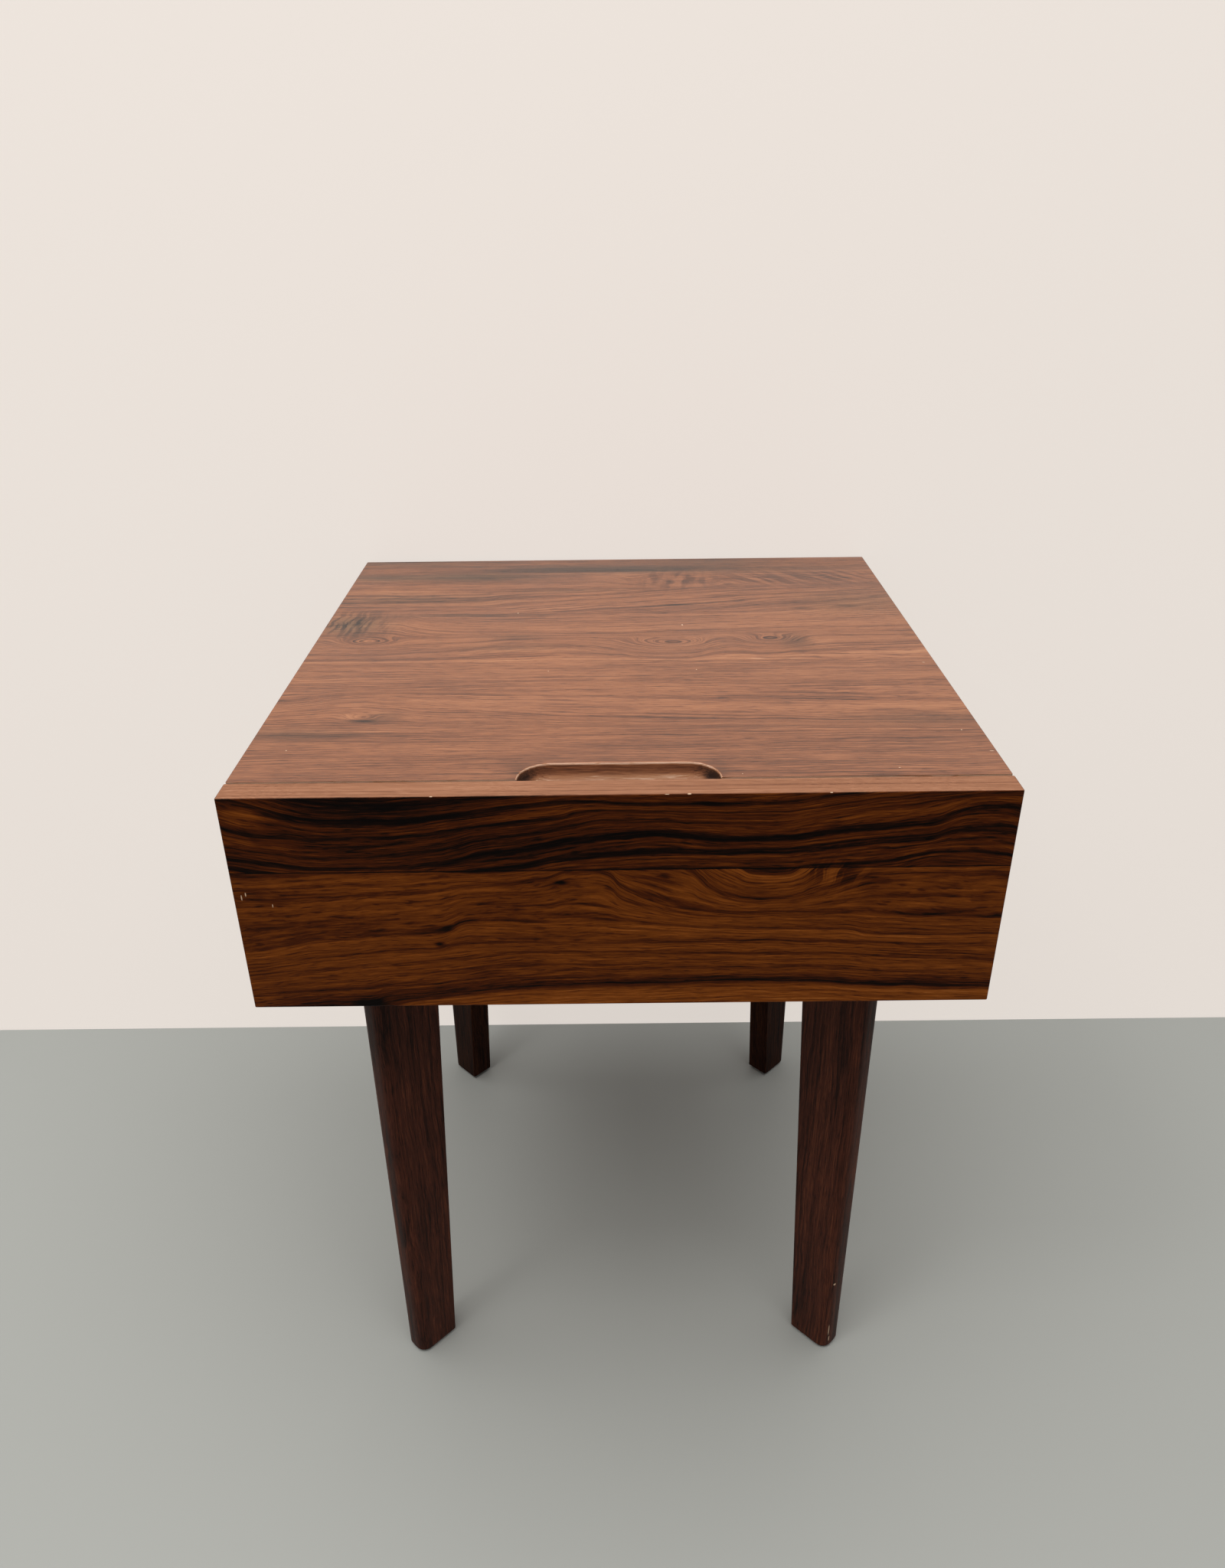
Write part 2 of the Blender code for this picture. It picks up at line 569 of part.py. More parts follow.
def build_front_screws(front, box_front):
    """Four screws from inside the box, through its front, into the drawer front."""
    head_y = DRAWER_BOX_FRONT + DRAWER_SIDE + FIT
    length = DRAWER_SIDE + FRONT_SCREW_GRIP
    profile = headed_profile(FRONT_SCREW_HEAD_RADIUS, FRONT_SCREW_HEAD_HEIGHT, FRONT_SCREW_RADIUS, length)
    hole = plug_profile(FRONT_SCREW_RADIUS + FIT, DRAWER_SIDE / 2, -length - FIT)
    rotation = (math.radians(-90), 0.0, 0.0)
    across = DRAWER_INNER_HALF - FRONT_SCREW_FROM_SIDE
    levels = {"upper": DRAWER_BOX_TOP - FRONT_SCREW_FROM_EDGE,
              "lower": DRAWER_BOX_BOTTOM + FRONT_SCREW_FROM_EDGE}
    made = []
    for level, height in levels.items():
        for side, side_sign in SIDES.items():
            tag = level + "_" + side
            centre = (side_sign * across, head_y, height)
            screw = turned("front_screw_" + tag, profile, centre, "black_steel", rotation)
            cutter = turned("front_screw_hole_" + tag, hole, centre, None, rotation)
            boolean(front, cutter)
            boolean(box_front, cutter)
            made += [screw, cutter]
    return made


def main():
    """Build the table and hang its moving pieces on their slide axes."""
    bottom, case_sides = build_case()
    build_legs(bottom)
    build_bumpers()
    pieces = build_drawer()
    moving = list(pieces.values())
    moving += build_front_screws(pieces["front"], pieces["box_front"])
    for side, sign in SIDES.items():
        moving += build_slide(side, sign, case_sides[side], pieces[side])
    carry("drawer_motion", (0.0, FRONT_FACE, DRAWER_BOX_MIDDLE_Z), moving)


main()
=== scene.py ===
"""Looks of a square walnut side table with one drawer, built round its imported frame.

Metres, +Z up, the drawer opens toward -Y. Grain figures are given in millimetres on
each board: along the grain, across it, and down into the wood.
"""

import logging
import math
from dataclasses import dataclass, replace
from enum import Enum

import bmesh
import bpy
from mathutils import Matrix, Vector


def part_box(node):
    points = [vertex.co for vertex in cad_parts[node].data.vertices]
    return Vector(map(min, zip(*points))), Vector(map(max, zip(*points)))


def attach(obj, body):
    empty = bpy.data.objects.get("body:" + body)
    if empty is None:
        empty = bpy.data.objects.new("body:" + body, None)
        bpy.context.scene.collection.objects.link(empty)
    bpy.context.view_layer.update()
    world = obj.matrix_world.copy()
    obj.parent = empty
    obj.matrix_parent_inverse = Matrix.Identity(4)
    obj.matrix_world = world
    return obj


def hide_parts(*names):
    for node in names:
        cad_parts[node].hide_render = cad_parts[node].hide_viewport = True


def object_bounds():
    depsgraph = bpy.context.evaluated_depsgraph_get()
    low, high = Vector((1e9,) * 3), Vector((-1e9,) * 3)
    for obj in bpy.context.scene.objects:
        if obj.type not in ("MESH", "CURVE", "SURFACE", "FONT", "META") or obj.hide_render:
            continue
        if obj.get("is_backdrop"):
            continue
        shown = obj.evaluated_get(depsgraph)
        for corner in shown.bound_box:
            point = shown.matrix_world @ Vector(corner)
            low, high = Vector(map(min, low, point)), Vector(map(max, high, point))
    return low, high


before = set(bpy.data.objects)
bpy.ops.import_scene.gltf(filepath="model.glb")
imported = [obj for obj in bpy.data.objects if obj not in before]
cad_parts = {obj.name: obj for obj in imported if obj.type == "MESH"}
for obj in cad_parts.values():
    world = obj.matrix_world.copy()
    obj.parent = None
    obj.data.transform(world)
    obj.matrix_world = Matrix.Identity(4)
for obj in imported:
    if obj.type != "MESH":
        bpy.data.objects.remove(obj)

LOG = logging.getLogger("side_table")
MM = 0.001
GRAIN = "grain"
SIDES = {"left": -1, "right": 1}
ENDS = {"front": -1, "rear": 1}

# The shader nodes that the finishes use most, and their usual settings.
MATH = "ShaderNodeMath"
VECTOR_MATH = "ShaderNodeVectorMath"
MAP_RANGE = "ShaderNodeMapRange"
RAMP = "ShaderNodeValToRGB"
MIX = "ShaderNodeMix"
NOISE = "ShaderNodeTexNoise"
BUMP = "ShaderNodeBump"
COMBINE = "ShaderNodeCombineXYZ"
SEPARATE = "ShaderNodeSeparateXYZ"
ADD = {"operation": "ADD"}
SUBTRACT = {"operation": "SUBTRACT"}
MULTIPLY = {"operation": "MULTIPLY"}
MULTIPLY_ADD = {"operation": "MULTIPLY_ADD"}
DOT_PRODUCT = {"operation": "DOT_PRODUCT"}
SMOOTH = {"interpolation_type": "SMOOTHSTEP"}
HELD = {"clamp": True}
BLEND = {"data_type": "RGBA", "blend_type": "MIX", "clamp_factor": True}
NodeValue = bpy.types.NodeSocket | bpy.types.Node | float

# How walnut's figure is made up. Lengths are in mm, gains are for each unit of a tone.
MEAN = 0.5
RING_SLOPE = 0.55
TREMBLE_ACROSS = 3.6
TREMBLE_ALONG = 9.0
GROWTH_GAIN = 6
YEAR_DRIFT = 7.0
FIBRE_GAIN = 9
BUNDLE_GAIN = 3.6
PORE_GAIN = -1.6
CLOUD_TONE = 0.22
INK_RANGE = (0.3, 1.3)
STRIPE_LENGTH = 42
SEAM_HALF_WIDTH = 0.4
END_GRAIN_TONE = -0.24
ROUGHNESS_SWING = 0.16
WOOD_IOR = 1.5
COOL_BROWN = "d4f3ff"
BARE_WOOD = "d3b294"

# Lines that drawing leaves in steel, each 0.4 mm wide and 25 mm long, as counts for each metre.
DRAW_LINES = (2500.0, 40.0, 2500.0)


# ---------------------------------------------------------------- small tools

def linear(hex_colour: str, alpha: float = 1.0) -> tuple[float, float, float, float]:
    """Turn an sRGB hex colour to the linear colour that shaders take.

    Args:
        hex_colour: Six hex digits, such as "8a583f".
        alpha: The fourth value.

    Returns:
        Linear red, green, blue and alpha.
    """
    channels = []
    for start in (0, 2, 4):
        value = int(hex_colour[start:start + 2], 16) / 255
        channels.append(value / 12.92 if value <= 0.04045 else ((value + 0.055) / 1.055) ** 2.4)
    return (*channels, alpha)


def add_node(tree: bpy.types.NodeTree, kind: str, settings: dict | None = None,
             inputs: dict | None = None) -> bpy.types.Node:
    """Add one node with its settings, and its inputs linked or set.

    Args:
        tree: The node tree to add to.
        kind: The node's type name.
        settings: Properties of the node.
        inputs: Values by socket name or number; a socket, or a node's first output, is linked.

    Returns:
        The new node.
    """
    node = tree.nodes.new(kind)
    for name, value in (settings or {}).items():
        setattr(node, name, value)
    for name, value in (inputs or {}).items():
        if isinstance(value, bpy.types.Node):
            value = value.outputs[0]
        if isinstance(value, bpy.types.NodeSocket):
            tree.links.new(value, node.inputs[name])
        else:
            node.inputs[name].default_value = value
    return node


def set_stops(node: bpy.types.Node, stops: list[tuple[float, tuple]], smooth: str = "LINEAR") -> None:
    """Give a colour ramp node its stops.

    Args:
        node: The colour ramp node.
        stops: Position from 0 to 1 and linear colour, in rising order.
        smooth: How the ramp runs between stops.
    """
    ramp = node.color_ramp
    ramp.interpolation = smooth
    while len(ramp.elements) > 1:
        ramp.elements.remove(ramp.elements[-1])
    ramp.elements[0].position = stops[0][0]
    ramp.elements[0].color = stops[0][1]
    for place, colour in stops[1:]:
        ramp.elements.new(place).color = colour


def new_material(name: str) -> tuple[bpy.types.Material, bpy.types.NodeTree]:
    """Make a material with an empty node tree.

    Args:
        name: The material's name.

    Returns:
        The material and its node tree.
    """
    material = bpy.data.materials.new(name)
    material.use_nodes = True
    material.node_tree.nodes.clear()
    return material, material.node_tree


def add_surface(tree: bpy.types.NodeTree, inputs: dict) -> bpy.types.Node:
    """Add a Principled surface and its output.

    Args:
        tree: The material's node tree.
        inputs: Values or sockets for the Principled shader.

    Returns:
        The Principled node.
    """
    shader = add_node(tree, "ShaderNodeBsdfPrincipled", inputs=inputs)
    add_node(tree, "ShaderNodeOutputMaterial", inputs={"Surface": shader.outputs["BSDF"]})
    return shader


# ---------------------------------------------------------------- wood figure

@dataclass(frozen=True)
class Layer:
    """One layer of a wood's figure, with its real size.

    Attributes:
        size: Usual size along the grain, across it and down, mm.
        detail: How many finer layers lie in it.
        rough: Strength of the finer layers.
        offset: Moves it to another part of the noise.
    """

    size: tuple[float, float, float]
    detail: float
    rough: float = 0.5
    offset: float = 0.0

    def noise(self, tree: bpy.types.NodeTree, spot: NodeValue) -> bpy.types.Node:
        """Draw the layer.

        Args:
            tree: The node tree.
            spot: The place, mm.

        Returns:
            The noise's node, whose value lies around one half.
        """
        scale = [1 / length for length in self.size]
        scaled = add_node(tree, VECTOR_MATH, MULTIPLY_ADD, {0: spot, 1: scale, 2: [self.offset] * 3})
        return add_node(tree, NOISE, {"noise_dimensions": "3D"},
                        {"Vector": scaled, "Scale": 1.0, "Detail": self.detail, "Roughness": self.rough})


class Figure(Enum):
    """The layers of walnut's figure.

    Growth lines lie 2 to 13 mm apart. Fibres and pores are drawn 1 mm wide where real ones are
    near 0.2 mm, so that they show.
    """

    WANDER = Layer((190, 70, 60), 2.0, 0.5, 3.1)
    TREMBLE = Layer((34, 16, 20), 2.0, 0.5, 7.7)
    GROWTH = Layer((260, 13, 60), 5.0, 0.6)
    THIN_LINE = Layer((420, 10, 80), 2.0, 0.5, 11.3)
    LINE_INK = Layer((160, 26, 60), 1.0, 0.5, 21.9)
    BAND_INK = Layer((70, 4, 30), 4.0, 0.62, 91.0)
    YEAR_DRIFT = Layer((330, 34, 80), 2.0, 0.5, 61.0)
    YEAR_INK = Layer((110, 9, 40), 2.0, 0.6, 71.0)
    FIBRE = Layer((26, 1.0, 1.0), 3.0, 0.72, 5.0)
    BUNDLE = Layer((150, 2.6, 9), 2.0, 0.6, 15.0)
    PORE = Layer((12, 0.9, 0.9), 1.0, 0.5, 31.0)
    CLOUD = Layer((130, 70, 60), 3.0, 0.5, 41.0)
    SIDE_GRAIN = Layer((260, 2.4, 30), 4.0, 0.6, 8.0)

    def noise(self, tree: bpy.types.NodeTree, spot: NodeValue) -> bpy.types.Node:
        """Draw the layer at a place in mm, as Layer.noise does."""
        return self.value.noise(tree, spot)


@dataclass(frozen=True)
class Place:
    """A point's place in its board, mm.

    Attributes:
        grain: Along, across and down, as a vector.
        along: Along the grain.
        across: Across the grain.
        down: Into the wood.
        level: Across the grain, unsettled as growth lines are.
        spot: Along and across, both unsettled, and down, as a vector.
    """

    grain: NodeValue
    along: NodeValue
    across: NodeValue
    down: NodeValue
    level: NodeValue
    spot: NodeValue


@dataclass(frozen=True)
class Swirl:
    """A place where the growth lines bulge or close into an eye.

    Attributes:
        along: Middle along the grain, mm.
        across: Middle across the grain, mm.
        reach_along: Half length, mm.
        reach_across: Half width, mm.
        lift: How far lines are pushed across the grain at the middle, mm.
        ink: How much more strongly the rings show there.
    """

    along: float
    across: float
    reach_along: float
    reach_across: float
    lift: float
    ink: float = 0.0


@dataclass(frozen=True)
class Contour:
    """One growth line followed from end to end of a board.

    Attributes:
        level: The line's place in the order of rings, mm.
        points: Place along the grain and across it, mm; lines never cross.
    """

    level: float
    points: tuple[tuple[float, float], ...]


@dataclass(frozen=True)
class Ripple:
    """A patch of curly figure, with stripes across the grain.

    Attributes:
        along: Middle along the grain, mm.
        across: Middle across the grain, mm.
        reach_along: Half length, mm.
        reach_across: Half width, mm.
        pitch: From stripe to stripe, mm.
        lean: How far the stripes lean along the grain for each mm across it.
        tone: How much the stripes change the tone.
    """

    along: float
    across: float
    reach_along: float
    reach_across: float
    pitch: float
    lean: float
    tone: float


@dataclass(frozen=True)
class Patch:
    """A soft lighter or darker area. On a face it is the wood's own tone; set below the face in a hollow,
    it is painted shade and highlight.

    Attributes:
        along: Middle along the grain, mm.
        across: Middle across the grain, mm.
        reach_along: Half length, mm.
        reach_across: Half width, mm.
        tone: How much lighter (up) or darker (down).
        grey: How far the colour moves to the cool brown of dark heartwood.
        down: Middle below the face, mm.
        reach_down: Half depth, mm; 0 means all the way through.
    """

    along: float
    across: float
    reach_along: float
    reach_across: float
    tone: float
    grey: float = 0.0
    down: float = 0.0
    reach_down: float = 0.0


@dataclass(frozen=True)
class Plank:
    """One glued board of a panel.

    Attributes:
        start: Its first edge across the grain, mm.
        end: Its last edge, mm.
        tone: Lighter or darker than the panel.
        shift: Moves the board to another part of the tree, mm.
        contours: Growth lines that set how its grain runs, in order across it.
        swirls: Local bulges of its lines.
        rings: Level in the order of rings (mm) and tone, for its own dark bands.
    """

    start: float
    end: float
    tone: float = 0.0
    shift: float = 0.0
    contours: tuple[Contour, ...] = ()
    swirls: tuple[Swirl, ...] = ()
    rings: tuple[tuple[float, float], ...] = ()


@dataclass(frozen=True)
class Nick:
    """A small dent or scratch down to pale wood, as an ellipsoid in metres.

    Attributes:
        place: Its middle.
        reach: Its half sizes.
    """

    place: tuple[float, float, float]
    reach: tuple[float, float, float]


@dataclass(frozen=True)
class Walnut:
    """Lacquered black walnut, planed and sanded: the lacquer is thin, so the figure shows all its
    depth and only broad soft highlights lie on it.

    Attributes:
        name: The material's name.
        tones: Colours from the darkest growth line to the palest sapwood streak.
        planks: The boards of the panel.
        patches: Soft areas of other tone; those set below the face are painted shade and highlights in a
            hollow.
        ripples: Patches of curly figure.
        base_tone: Where plain wood sits among the tones.
        line_tone: How strongly the broad growth lines show.
        streak_tone: How dark the thin late-wood lines are.
        ring_tone: How dark each year's late wood is.
        ring_pitch: Usual width of a year's ring on the face, mm.
        fibre_tone: How strongly single fibres show.
        wander: How far growth lines wander, mm.
        seam_tone: How dark a glue line is.
        roughness: Of the lacquer.
        specular: Share of a usual lacquer's reflection.
        hollow_light_by_depth: Depth below the face (mm) and tone, which paint light and shade into a
            scooped hollow: a painted highlight on its rim, painted shade on its wall and a painted sheen on
            its floor.
        edge_grain_and_top_light_tones: Colours of an upward edge cut along the grain, lighter than the face
            as painted light from above, and of the board's end grain; none leaves them as the face.
        nicks: Dents through the finish.
    """

    name: str
    tones: tuple[tuple[float, str], ...]
    planks: tuple[Plank, ...] = (Plank(-10000, 10000),)
    patches: tuple[Patch, ...] = ()
    ripples: tuple[Ripple, ...] = ()
    base_tone: float = 0.5
    line_tone: float = 0.16
    streak_tone: float = 0.3
    ring_tone: float = 0.1
    ring_pitch: float = 4.0
    fibre_tone: float = 0.08
    wander: float = 13.0
    seam_tone: float = 0.12
    hollow_light_by_depth: tuple[tuple[float, float], ...] = ()
    roughness: float = 0.36
    specular: float = 0.5
    edge_grain_and_top_light_tones: tuple[tuple[float, str], ...] = ()
    nicks: tuple[Nick, ...] = ()

    def bell(self, tree: bpy.types.NodeTree, spot: NodeValue, middle: tuple[float, ...],
             reach: tuple[float, ...]) -> bpy.types.Node:
        """A smooth bell: 1 at the middle, fading out at the reach.

        Args:
            tree: The node tree.
            spot: The place, as a vector.
            middle: The bell's middle.
            reach: Its half sizes; 0 means it runs on without end.

        Returns:
            The bell's node.
        """
        scale = [1 / size if size else 0.0 for size in reach]
        offset = [-place * factor for place, factor in zip(middle, scale)]
        moved = add_node(tree, VECTOR_MATH, MULTIPLY_ADD, {0: spot, 1: scale, 2: offset})
        square = add_node(tree, VECTOR_MATH, DOT_PRODUCT, {0: moved, 1: moved}).outputs["Value"]
        falling = add_node(tree, MATH, MULTIPLY, {0: square, 1: -1.0})
        return add_node(tree, MATH, {"operation": "EXPONENT"}, {0: falling})

    def area(self, tree: bpy.types.NodeTree, place: Place, mark: Swirl | Patch | Ripple) -> bpy.types.Node:
        """The bell of one swirl, patch or ripple.

        Args:
            tree: The node tree.
            place: The point's place in its board.
            mark: The swirl, patch or ripple.

        Returns:
            The bell's node.
        """
        down, reach_down = (mark.down, mark.reach_down) if isinstance(mark, Patch) else (0, 0)
        return self.bell(tree, place.spot, (mark.along, mark.across, down),
                         (mark.reach_along, mark.reach_across, reach_down))

    def follow(self, tree: bpy.types.NodeTree, share: NodeValue, contour: Contour) -> bpy.types.Node:
        """Where one growth line lies across the grain.

        Args:
            tree: The node tree.
            share: Place along the board, from 0 to 1.
            contour: The growth line, whose first and last points are the board's ends.

        Returns:
            The line's place across the grain, mm.
        """
        first, last = contour.points[0][0], contour.points[-1][0]
        places = [place for _, place in contour.points]
        low, high = min(places), max(places)
        reach = max(high - low, 1.0)
        curve = add_node(tree, "ShaderNodeFloatCurve", inputs={"Value": share})
        points = curve.mapping.curves[0].points
        wanted = [((along - first) / (last - first), (across - low) / reach)
                  for along, across in contour.points]
        points[0].location, points[-1].location = wanted[0], wanted[-1]
        for place in wanted[1:-1]:
            points.new(*place)
        curve.mapping.update()
        return add_node(tree, MATH, MULTIPLY_ADD, {0: curve, 1: reach, 2: low})

    def straighten(self, tree: bpy.types.NodeTree, contours: tuple[Contour, ...],
                   place: Place) -> bpy.types.Node:
        """Lay a board's growth lines out straight.

        Args:
            tree: The node tree.
            contours: Its growth lines in order.
            place: The point's place in its board.

        Returns:
            The place in the order of rings, mm.
        """
        start, end = contours[0].points[0][0], contours[0].points[-1][0]
        share = add_node(tree, MAP_RANGE, HELD, {"Value": place.along, "From Min": start, "From Max": end})
        lines = [self.follow(tree, share, contour) for contour in contours]
        before = add_node(tree, MATH, SUBTRACT, {0: place.level, 1: lines[0]})
        before = add_node(tree, MATH, {"operation": "MINIMUM"}, {0: before, 1: 0.0})
        beyond = add_node(tree, MATH, SUBTRACT, {0: place.level, 1: lines[-1]})
        beyond = add_node(tree, MATH, {"operation": "MAXIMUM"}, {0: beyond, 1: 0.0})
        total = add_node(tree, MATH, ADD, {0: before, 1: beyond})
        total = add_node(tree, MATH, ADD, {0: total, 1: contours[0].level})
        for number, (line, following) in enumerate(zip(lines, lines[1:])):
            step = contours[number + 1].level - contours[number].level
            part = add_node(tree, MAP_RANGE, HELD, {"Value": place.level, "From Min": line,
                                                    "From Max": following, "To Max": step})
            total = add_node(tree, MATH, ADD, {0: total, 1: part})
        return total

    def push(self, tree: bpy.types.NodeTree, plank: Plank, place: Place) -> NodeValue:
        """How far one board's growth lines are pushed across the grain.

        Args:
            tree: The node tree.
            plank: The board.
            place: The point's place in it.

        Returns:
            The push, mm.
        """
        push = 0.0
        if plank.contours:
            straight = self.straighten(tree, plank.contours, place)
            push = add_node(tree, MATH, SUBTRACT, {0: place.level, 1: straight})
        for swirl in plank.swirls:
            bell = self.area(tree, place, swirl)
            push = add_node(tree, MATH, MULTIPLY_ADD, {0: bell, 1: swirl.lift, 2: push})
        return push

    def own_rings(self, tree: bpy.types.NodeTree, plank: Plank, place: Place, push: NodeValue,
                  mask: NodeValue) -> bpy.types.Node:
        """One board's own dark and pale bands.

        Args:
            tree: The node tree.
            plank: The board.
            place: The point's place in it.
            push: How far its lines are pushed, mm.
            mask: Where the board is.

        Returns:
            What the bands add to the tone.
        """
        straight = add_node(tree, MATH, SUBTRACT, {0: place.level, 1: push})
        first, last = plank.rings[0][0], plank.rings[-1][0]
        share = add_node(tree, MAP_RANGE, HELD, {"Value": straight, "From Min": first, "From Max": last})
        ramp = add_node(tree, RAMP, inputs={"Fac": share})
        stops = [((level - first) / (last - first), (0.5 + tone / 2,) * 3 + (1.0,))
                 for level, tone in plank.rings]
        set_stops(ramp, stops, "EASE")
        wood = add_node(tree, COMBINE, inputs={0: place.along, 1: straight, 2: plank.shift})
        unevenness = Figure.BAND_INK.noise(tree, wood)
        low_ink, ink_swing = INK_RANGE
        uneven = add_node(tree, MATH, MULTIPLY_ADD, {0: unevenness, 1: ink_swing, 2: low_ink})
        ring = add_node(tree, MATH, MULTIPLY_ADD, {0: ramp, 1: 2.0, 2: -1.0})
        ring = add_node(tree, MATH, MULTIPLY, {0: ring, 1: uneven})
        return add_node(tree, MATH, MULTIPLY, {0: ring, 1: mask})

    def find_place(self, tree: bpy.types.NodeTree) -> Place:
        """Read the point's place; no growth line is quite straight, so it wanders and trembles.

        Args:
            tree: The node tree.

        Returns:
            The place.
        """
        grain = add_node(tree, "ShaderNodeAttribute", {"attribute_name": GRAIN}).outputs["Vector"]
        along, across, down = add_node(tree, SEPARATE, inputs={0: grain}).outputs
        wander = Figure.WANDER.noise(tree, grain)
        wander = add_node(tree, MATH, SUBTRACT, {0: wander, 1: MEAN})
        tremble = Figure.TREMBLE.noise(tree, grain)
        tremble = add_node(tree, MATH, SUBTRACT, {0: tremble, 1: MEAN})
        trembling = add_node(tree, MATH, MULTIPLY, {0: tremble, 1: TREMBLE_ACROSS})
        unsettled = add_node(tree, MATH, MULTIPLY_ADD, {0: wander, 1: self.wander, 2: trembling})
        level = add_node(tree, MATH, MULTIPLY_ADD, {0: down, 1: RING_SLOPE, 2: across})
        level = add_node(tree, MATH, ADD, {0: level, 1: unsettled})
        shifted = add_node(tree, MATH, MULTIPLY_ADD, {0: tremble, 1: TREMBLE_ALONG, 2: along})
        spot = add_node(tree, COMBINE, inputs={0: shifted, 1: level, 2: down})
        return Place(grain, along, across, down, level, spot)

    def lay_planks(self, tree: bpy.types.NodeTree,
                   place: Place) -> tuple[NodeValue, NodeValue, bpy.types.Node]:
        """Lay the boards side by side, each from its own part of the tree.

        Args:
            tree: The node tree.
            place: The point's place.

        Returns:
            The tone, the place in the order of rings, and the place in the tree as a vector.
        """
        straight, tone, shift = place.level, self.base_tone, 0.0
        for plank in self.planks:
            begun = add_node(tree, MATH, {"operation": "GREATER_THAN"}, {0: place.across, 1: plank.start})
            unended = add_node(tree, MATH, {"operation": "LESS_THAN"}, {0: place.across, 1: plank.end})
            mask = add_node(tree, MATH, MULTIPLY, {0: begun, 1: unended})
            push = self.push(tree, plank, place)
            if plank.contours or plank.swirls:
                pushed = add_node(tree, MATH, MULTIPLY, {0: push, 1: mask})
                straight = add_node(tree, MATH, MULTIPLY_ADD, {0: pushed, 1: -1.0, 2: straight})
            tone = add_node(tree, MATH, MULTIPLY_ADD, {0: mask, 1: plank.tone, 2: tone})
            shift = add_node(tree, MATH, MULTIPLY_ADD, {0: mask, 1: plank.shift, 2: shift})
            if plank.rings:
                ring = self.own_rings(tree, plank, place, push, mask)
                tone = add_node(tree, MATH, ADD, {0: tone, 1: ring})
        depth = add_node(tree, MATH, ADD, {0: place.down, 1: shift})
        wood = add_node(tree, COMBINE, inputs={0: place.along, 1: straight, 2: depth})
        return tone, straight, wood

    def growth(self, tree: bpy.types.NodeTree, place: Place, wood: NodeValue, straight: NodeValue,
               tone: NodeValue) -> bpy.types.Node:
        """Draw the growth lines, the thin late-wood lines and each year's darkening.

        Args:
            tree: The node tree.
            place: The point's place.
            wood: The place in the tree.
            straight: The place in the order of rings, mm.
            tone: The tone so far.

        Returns:
            The tone.
        """
        broad = add_node(tree, MATH, SUBTRACT, {0: Figure.GROWTH.noise(tree, wood), 1: MEAN})
        tone = add_node(tree, MATH, MULTIPLY_ADD, {0: broad, 1: self.line_tone * GROWTH_GAIN, 2: tone})

        off_line = add_node(tree, MATH, SUBTRACT, {0: Figure.THIN_LINE.noise(tree, wood), 1: MEAN})
        off_line = add_node(tree, MATH, {"operation": "ABSOLUTE"}, {0: off_line})
        thin_line = add_node(tree, MAP_RANGE, SMOOTH, {"Value": off_line, "From Min": 0.0, "From Max": 0.03,
                                                       "To Min": 1.0, "To Max": 0.0})
        presence = add_node(tree, MAP_RANGE, SMOOTH, {"Value": Figure.LINE_INK.noise(tree, wood),
                                                      "From Min": 0.42, "From Max": 0.62})
        thin_line = add_node(tree, MATH, MULTIPLY, {0: thin_line, 1: presence})
        tone = add_node(tree, MATH, MULTIPLY_ADD, {0: thin_line, 1: -self.streak_tone, 2: tone})

        years = add_node(tree, MATH, MULTIPLY, {0: straight, 1: 1 / self.ring_pitch})
        drift = Figure.YEAR_DRIFT.noise(tree, wood)
        years = add_node(tree, MATH, MULTIPLY_ADD, {0: drift, 1: YEAR_DRIFT, 2: years})
        year = add_node(tree, MATH, {"operation": "FRACT"}, {0: years})
        late = add_node(tree, MAP_RANGE, SMOOTH, {"Value": year, "From Min": 0.25, "From Max": 0.88})
        ending = add_node(tree, MAP_RANGE, SMOOTH, {"Value": year, "From Min": 0.9, "From Max": 1.0,
                                                    "To Min": 1.0, "To Max": 0.0})
        strength = add_node(tree, MAP_RANGE, SMOOTH, {"Value": Figure.YEAR_INK.noise(tree, wood),
                                                      "From Min": 0.38, "From Max": 0.64})
        for swirl in (swirl for plank in self.planks for swirl in plank.swirls if swirl.ink):
            bell = self.area(tree, place, swirl)
            strength = add_node(tree, MATH, MULTIPLY_ADD, {0: bell, 1: swirl.ink, 2: strength})
        shade = add_node(tree, MATH, MULTIPLY, {0: late, 1: ending})
        shade = add_node(tree, MATH, MULTIPLY, {0: shade, 1: strength})
        return add_node(tree, MATH, MULTIPLY_ADD, {0: shade, 1: -self.ring_tone, 2: tone})

    def fibres(self, tree: bpy.types.NodeTree, wood: NodeValue,
               tone: NodeValue) -> tuple[bpy.types.Node, bpy.types.Node, bpy.types.Node]:
        """Draw single fibres, bundles of them, and open pores.

        Args:
            tree: The node tree.
            wood: The place in the tree.
            tone: The tone so far.

        Returns:
            The tone, the fibres and the pores.
        """
        fibre = add_node(tree, MATH, SUBTRACT, {0: Figure.FIBRE.noise(tree, wood), 1: MEAN})
        bundle = add_node(tree, MATH, SUBTRACT, {0: Figure.BUNDLE.noise(tree, wood), 1: MEAN})
        pore = add_node(tree, MAP_RANGE, SMOOTH, {"Value": Figure.PORE.noise(tree, wood),
                                                  "From Min": 0.56, "From Max": 0.7})
        for value, gain in ((fibre, FIBRE_GAIN), (bundle, BUNDLE_GAIN), (pore, PORE_GAIN)):
            tone = add_node(tree, MATH, MULTIPLY_ADD, {0: value, 1: self.fibre_tone * gain, 2: tone})
        return tone, fibre, pore

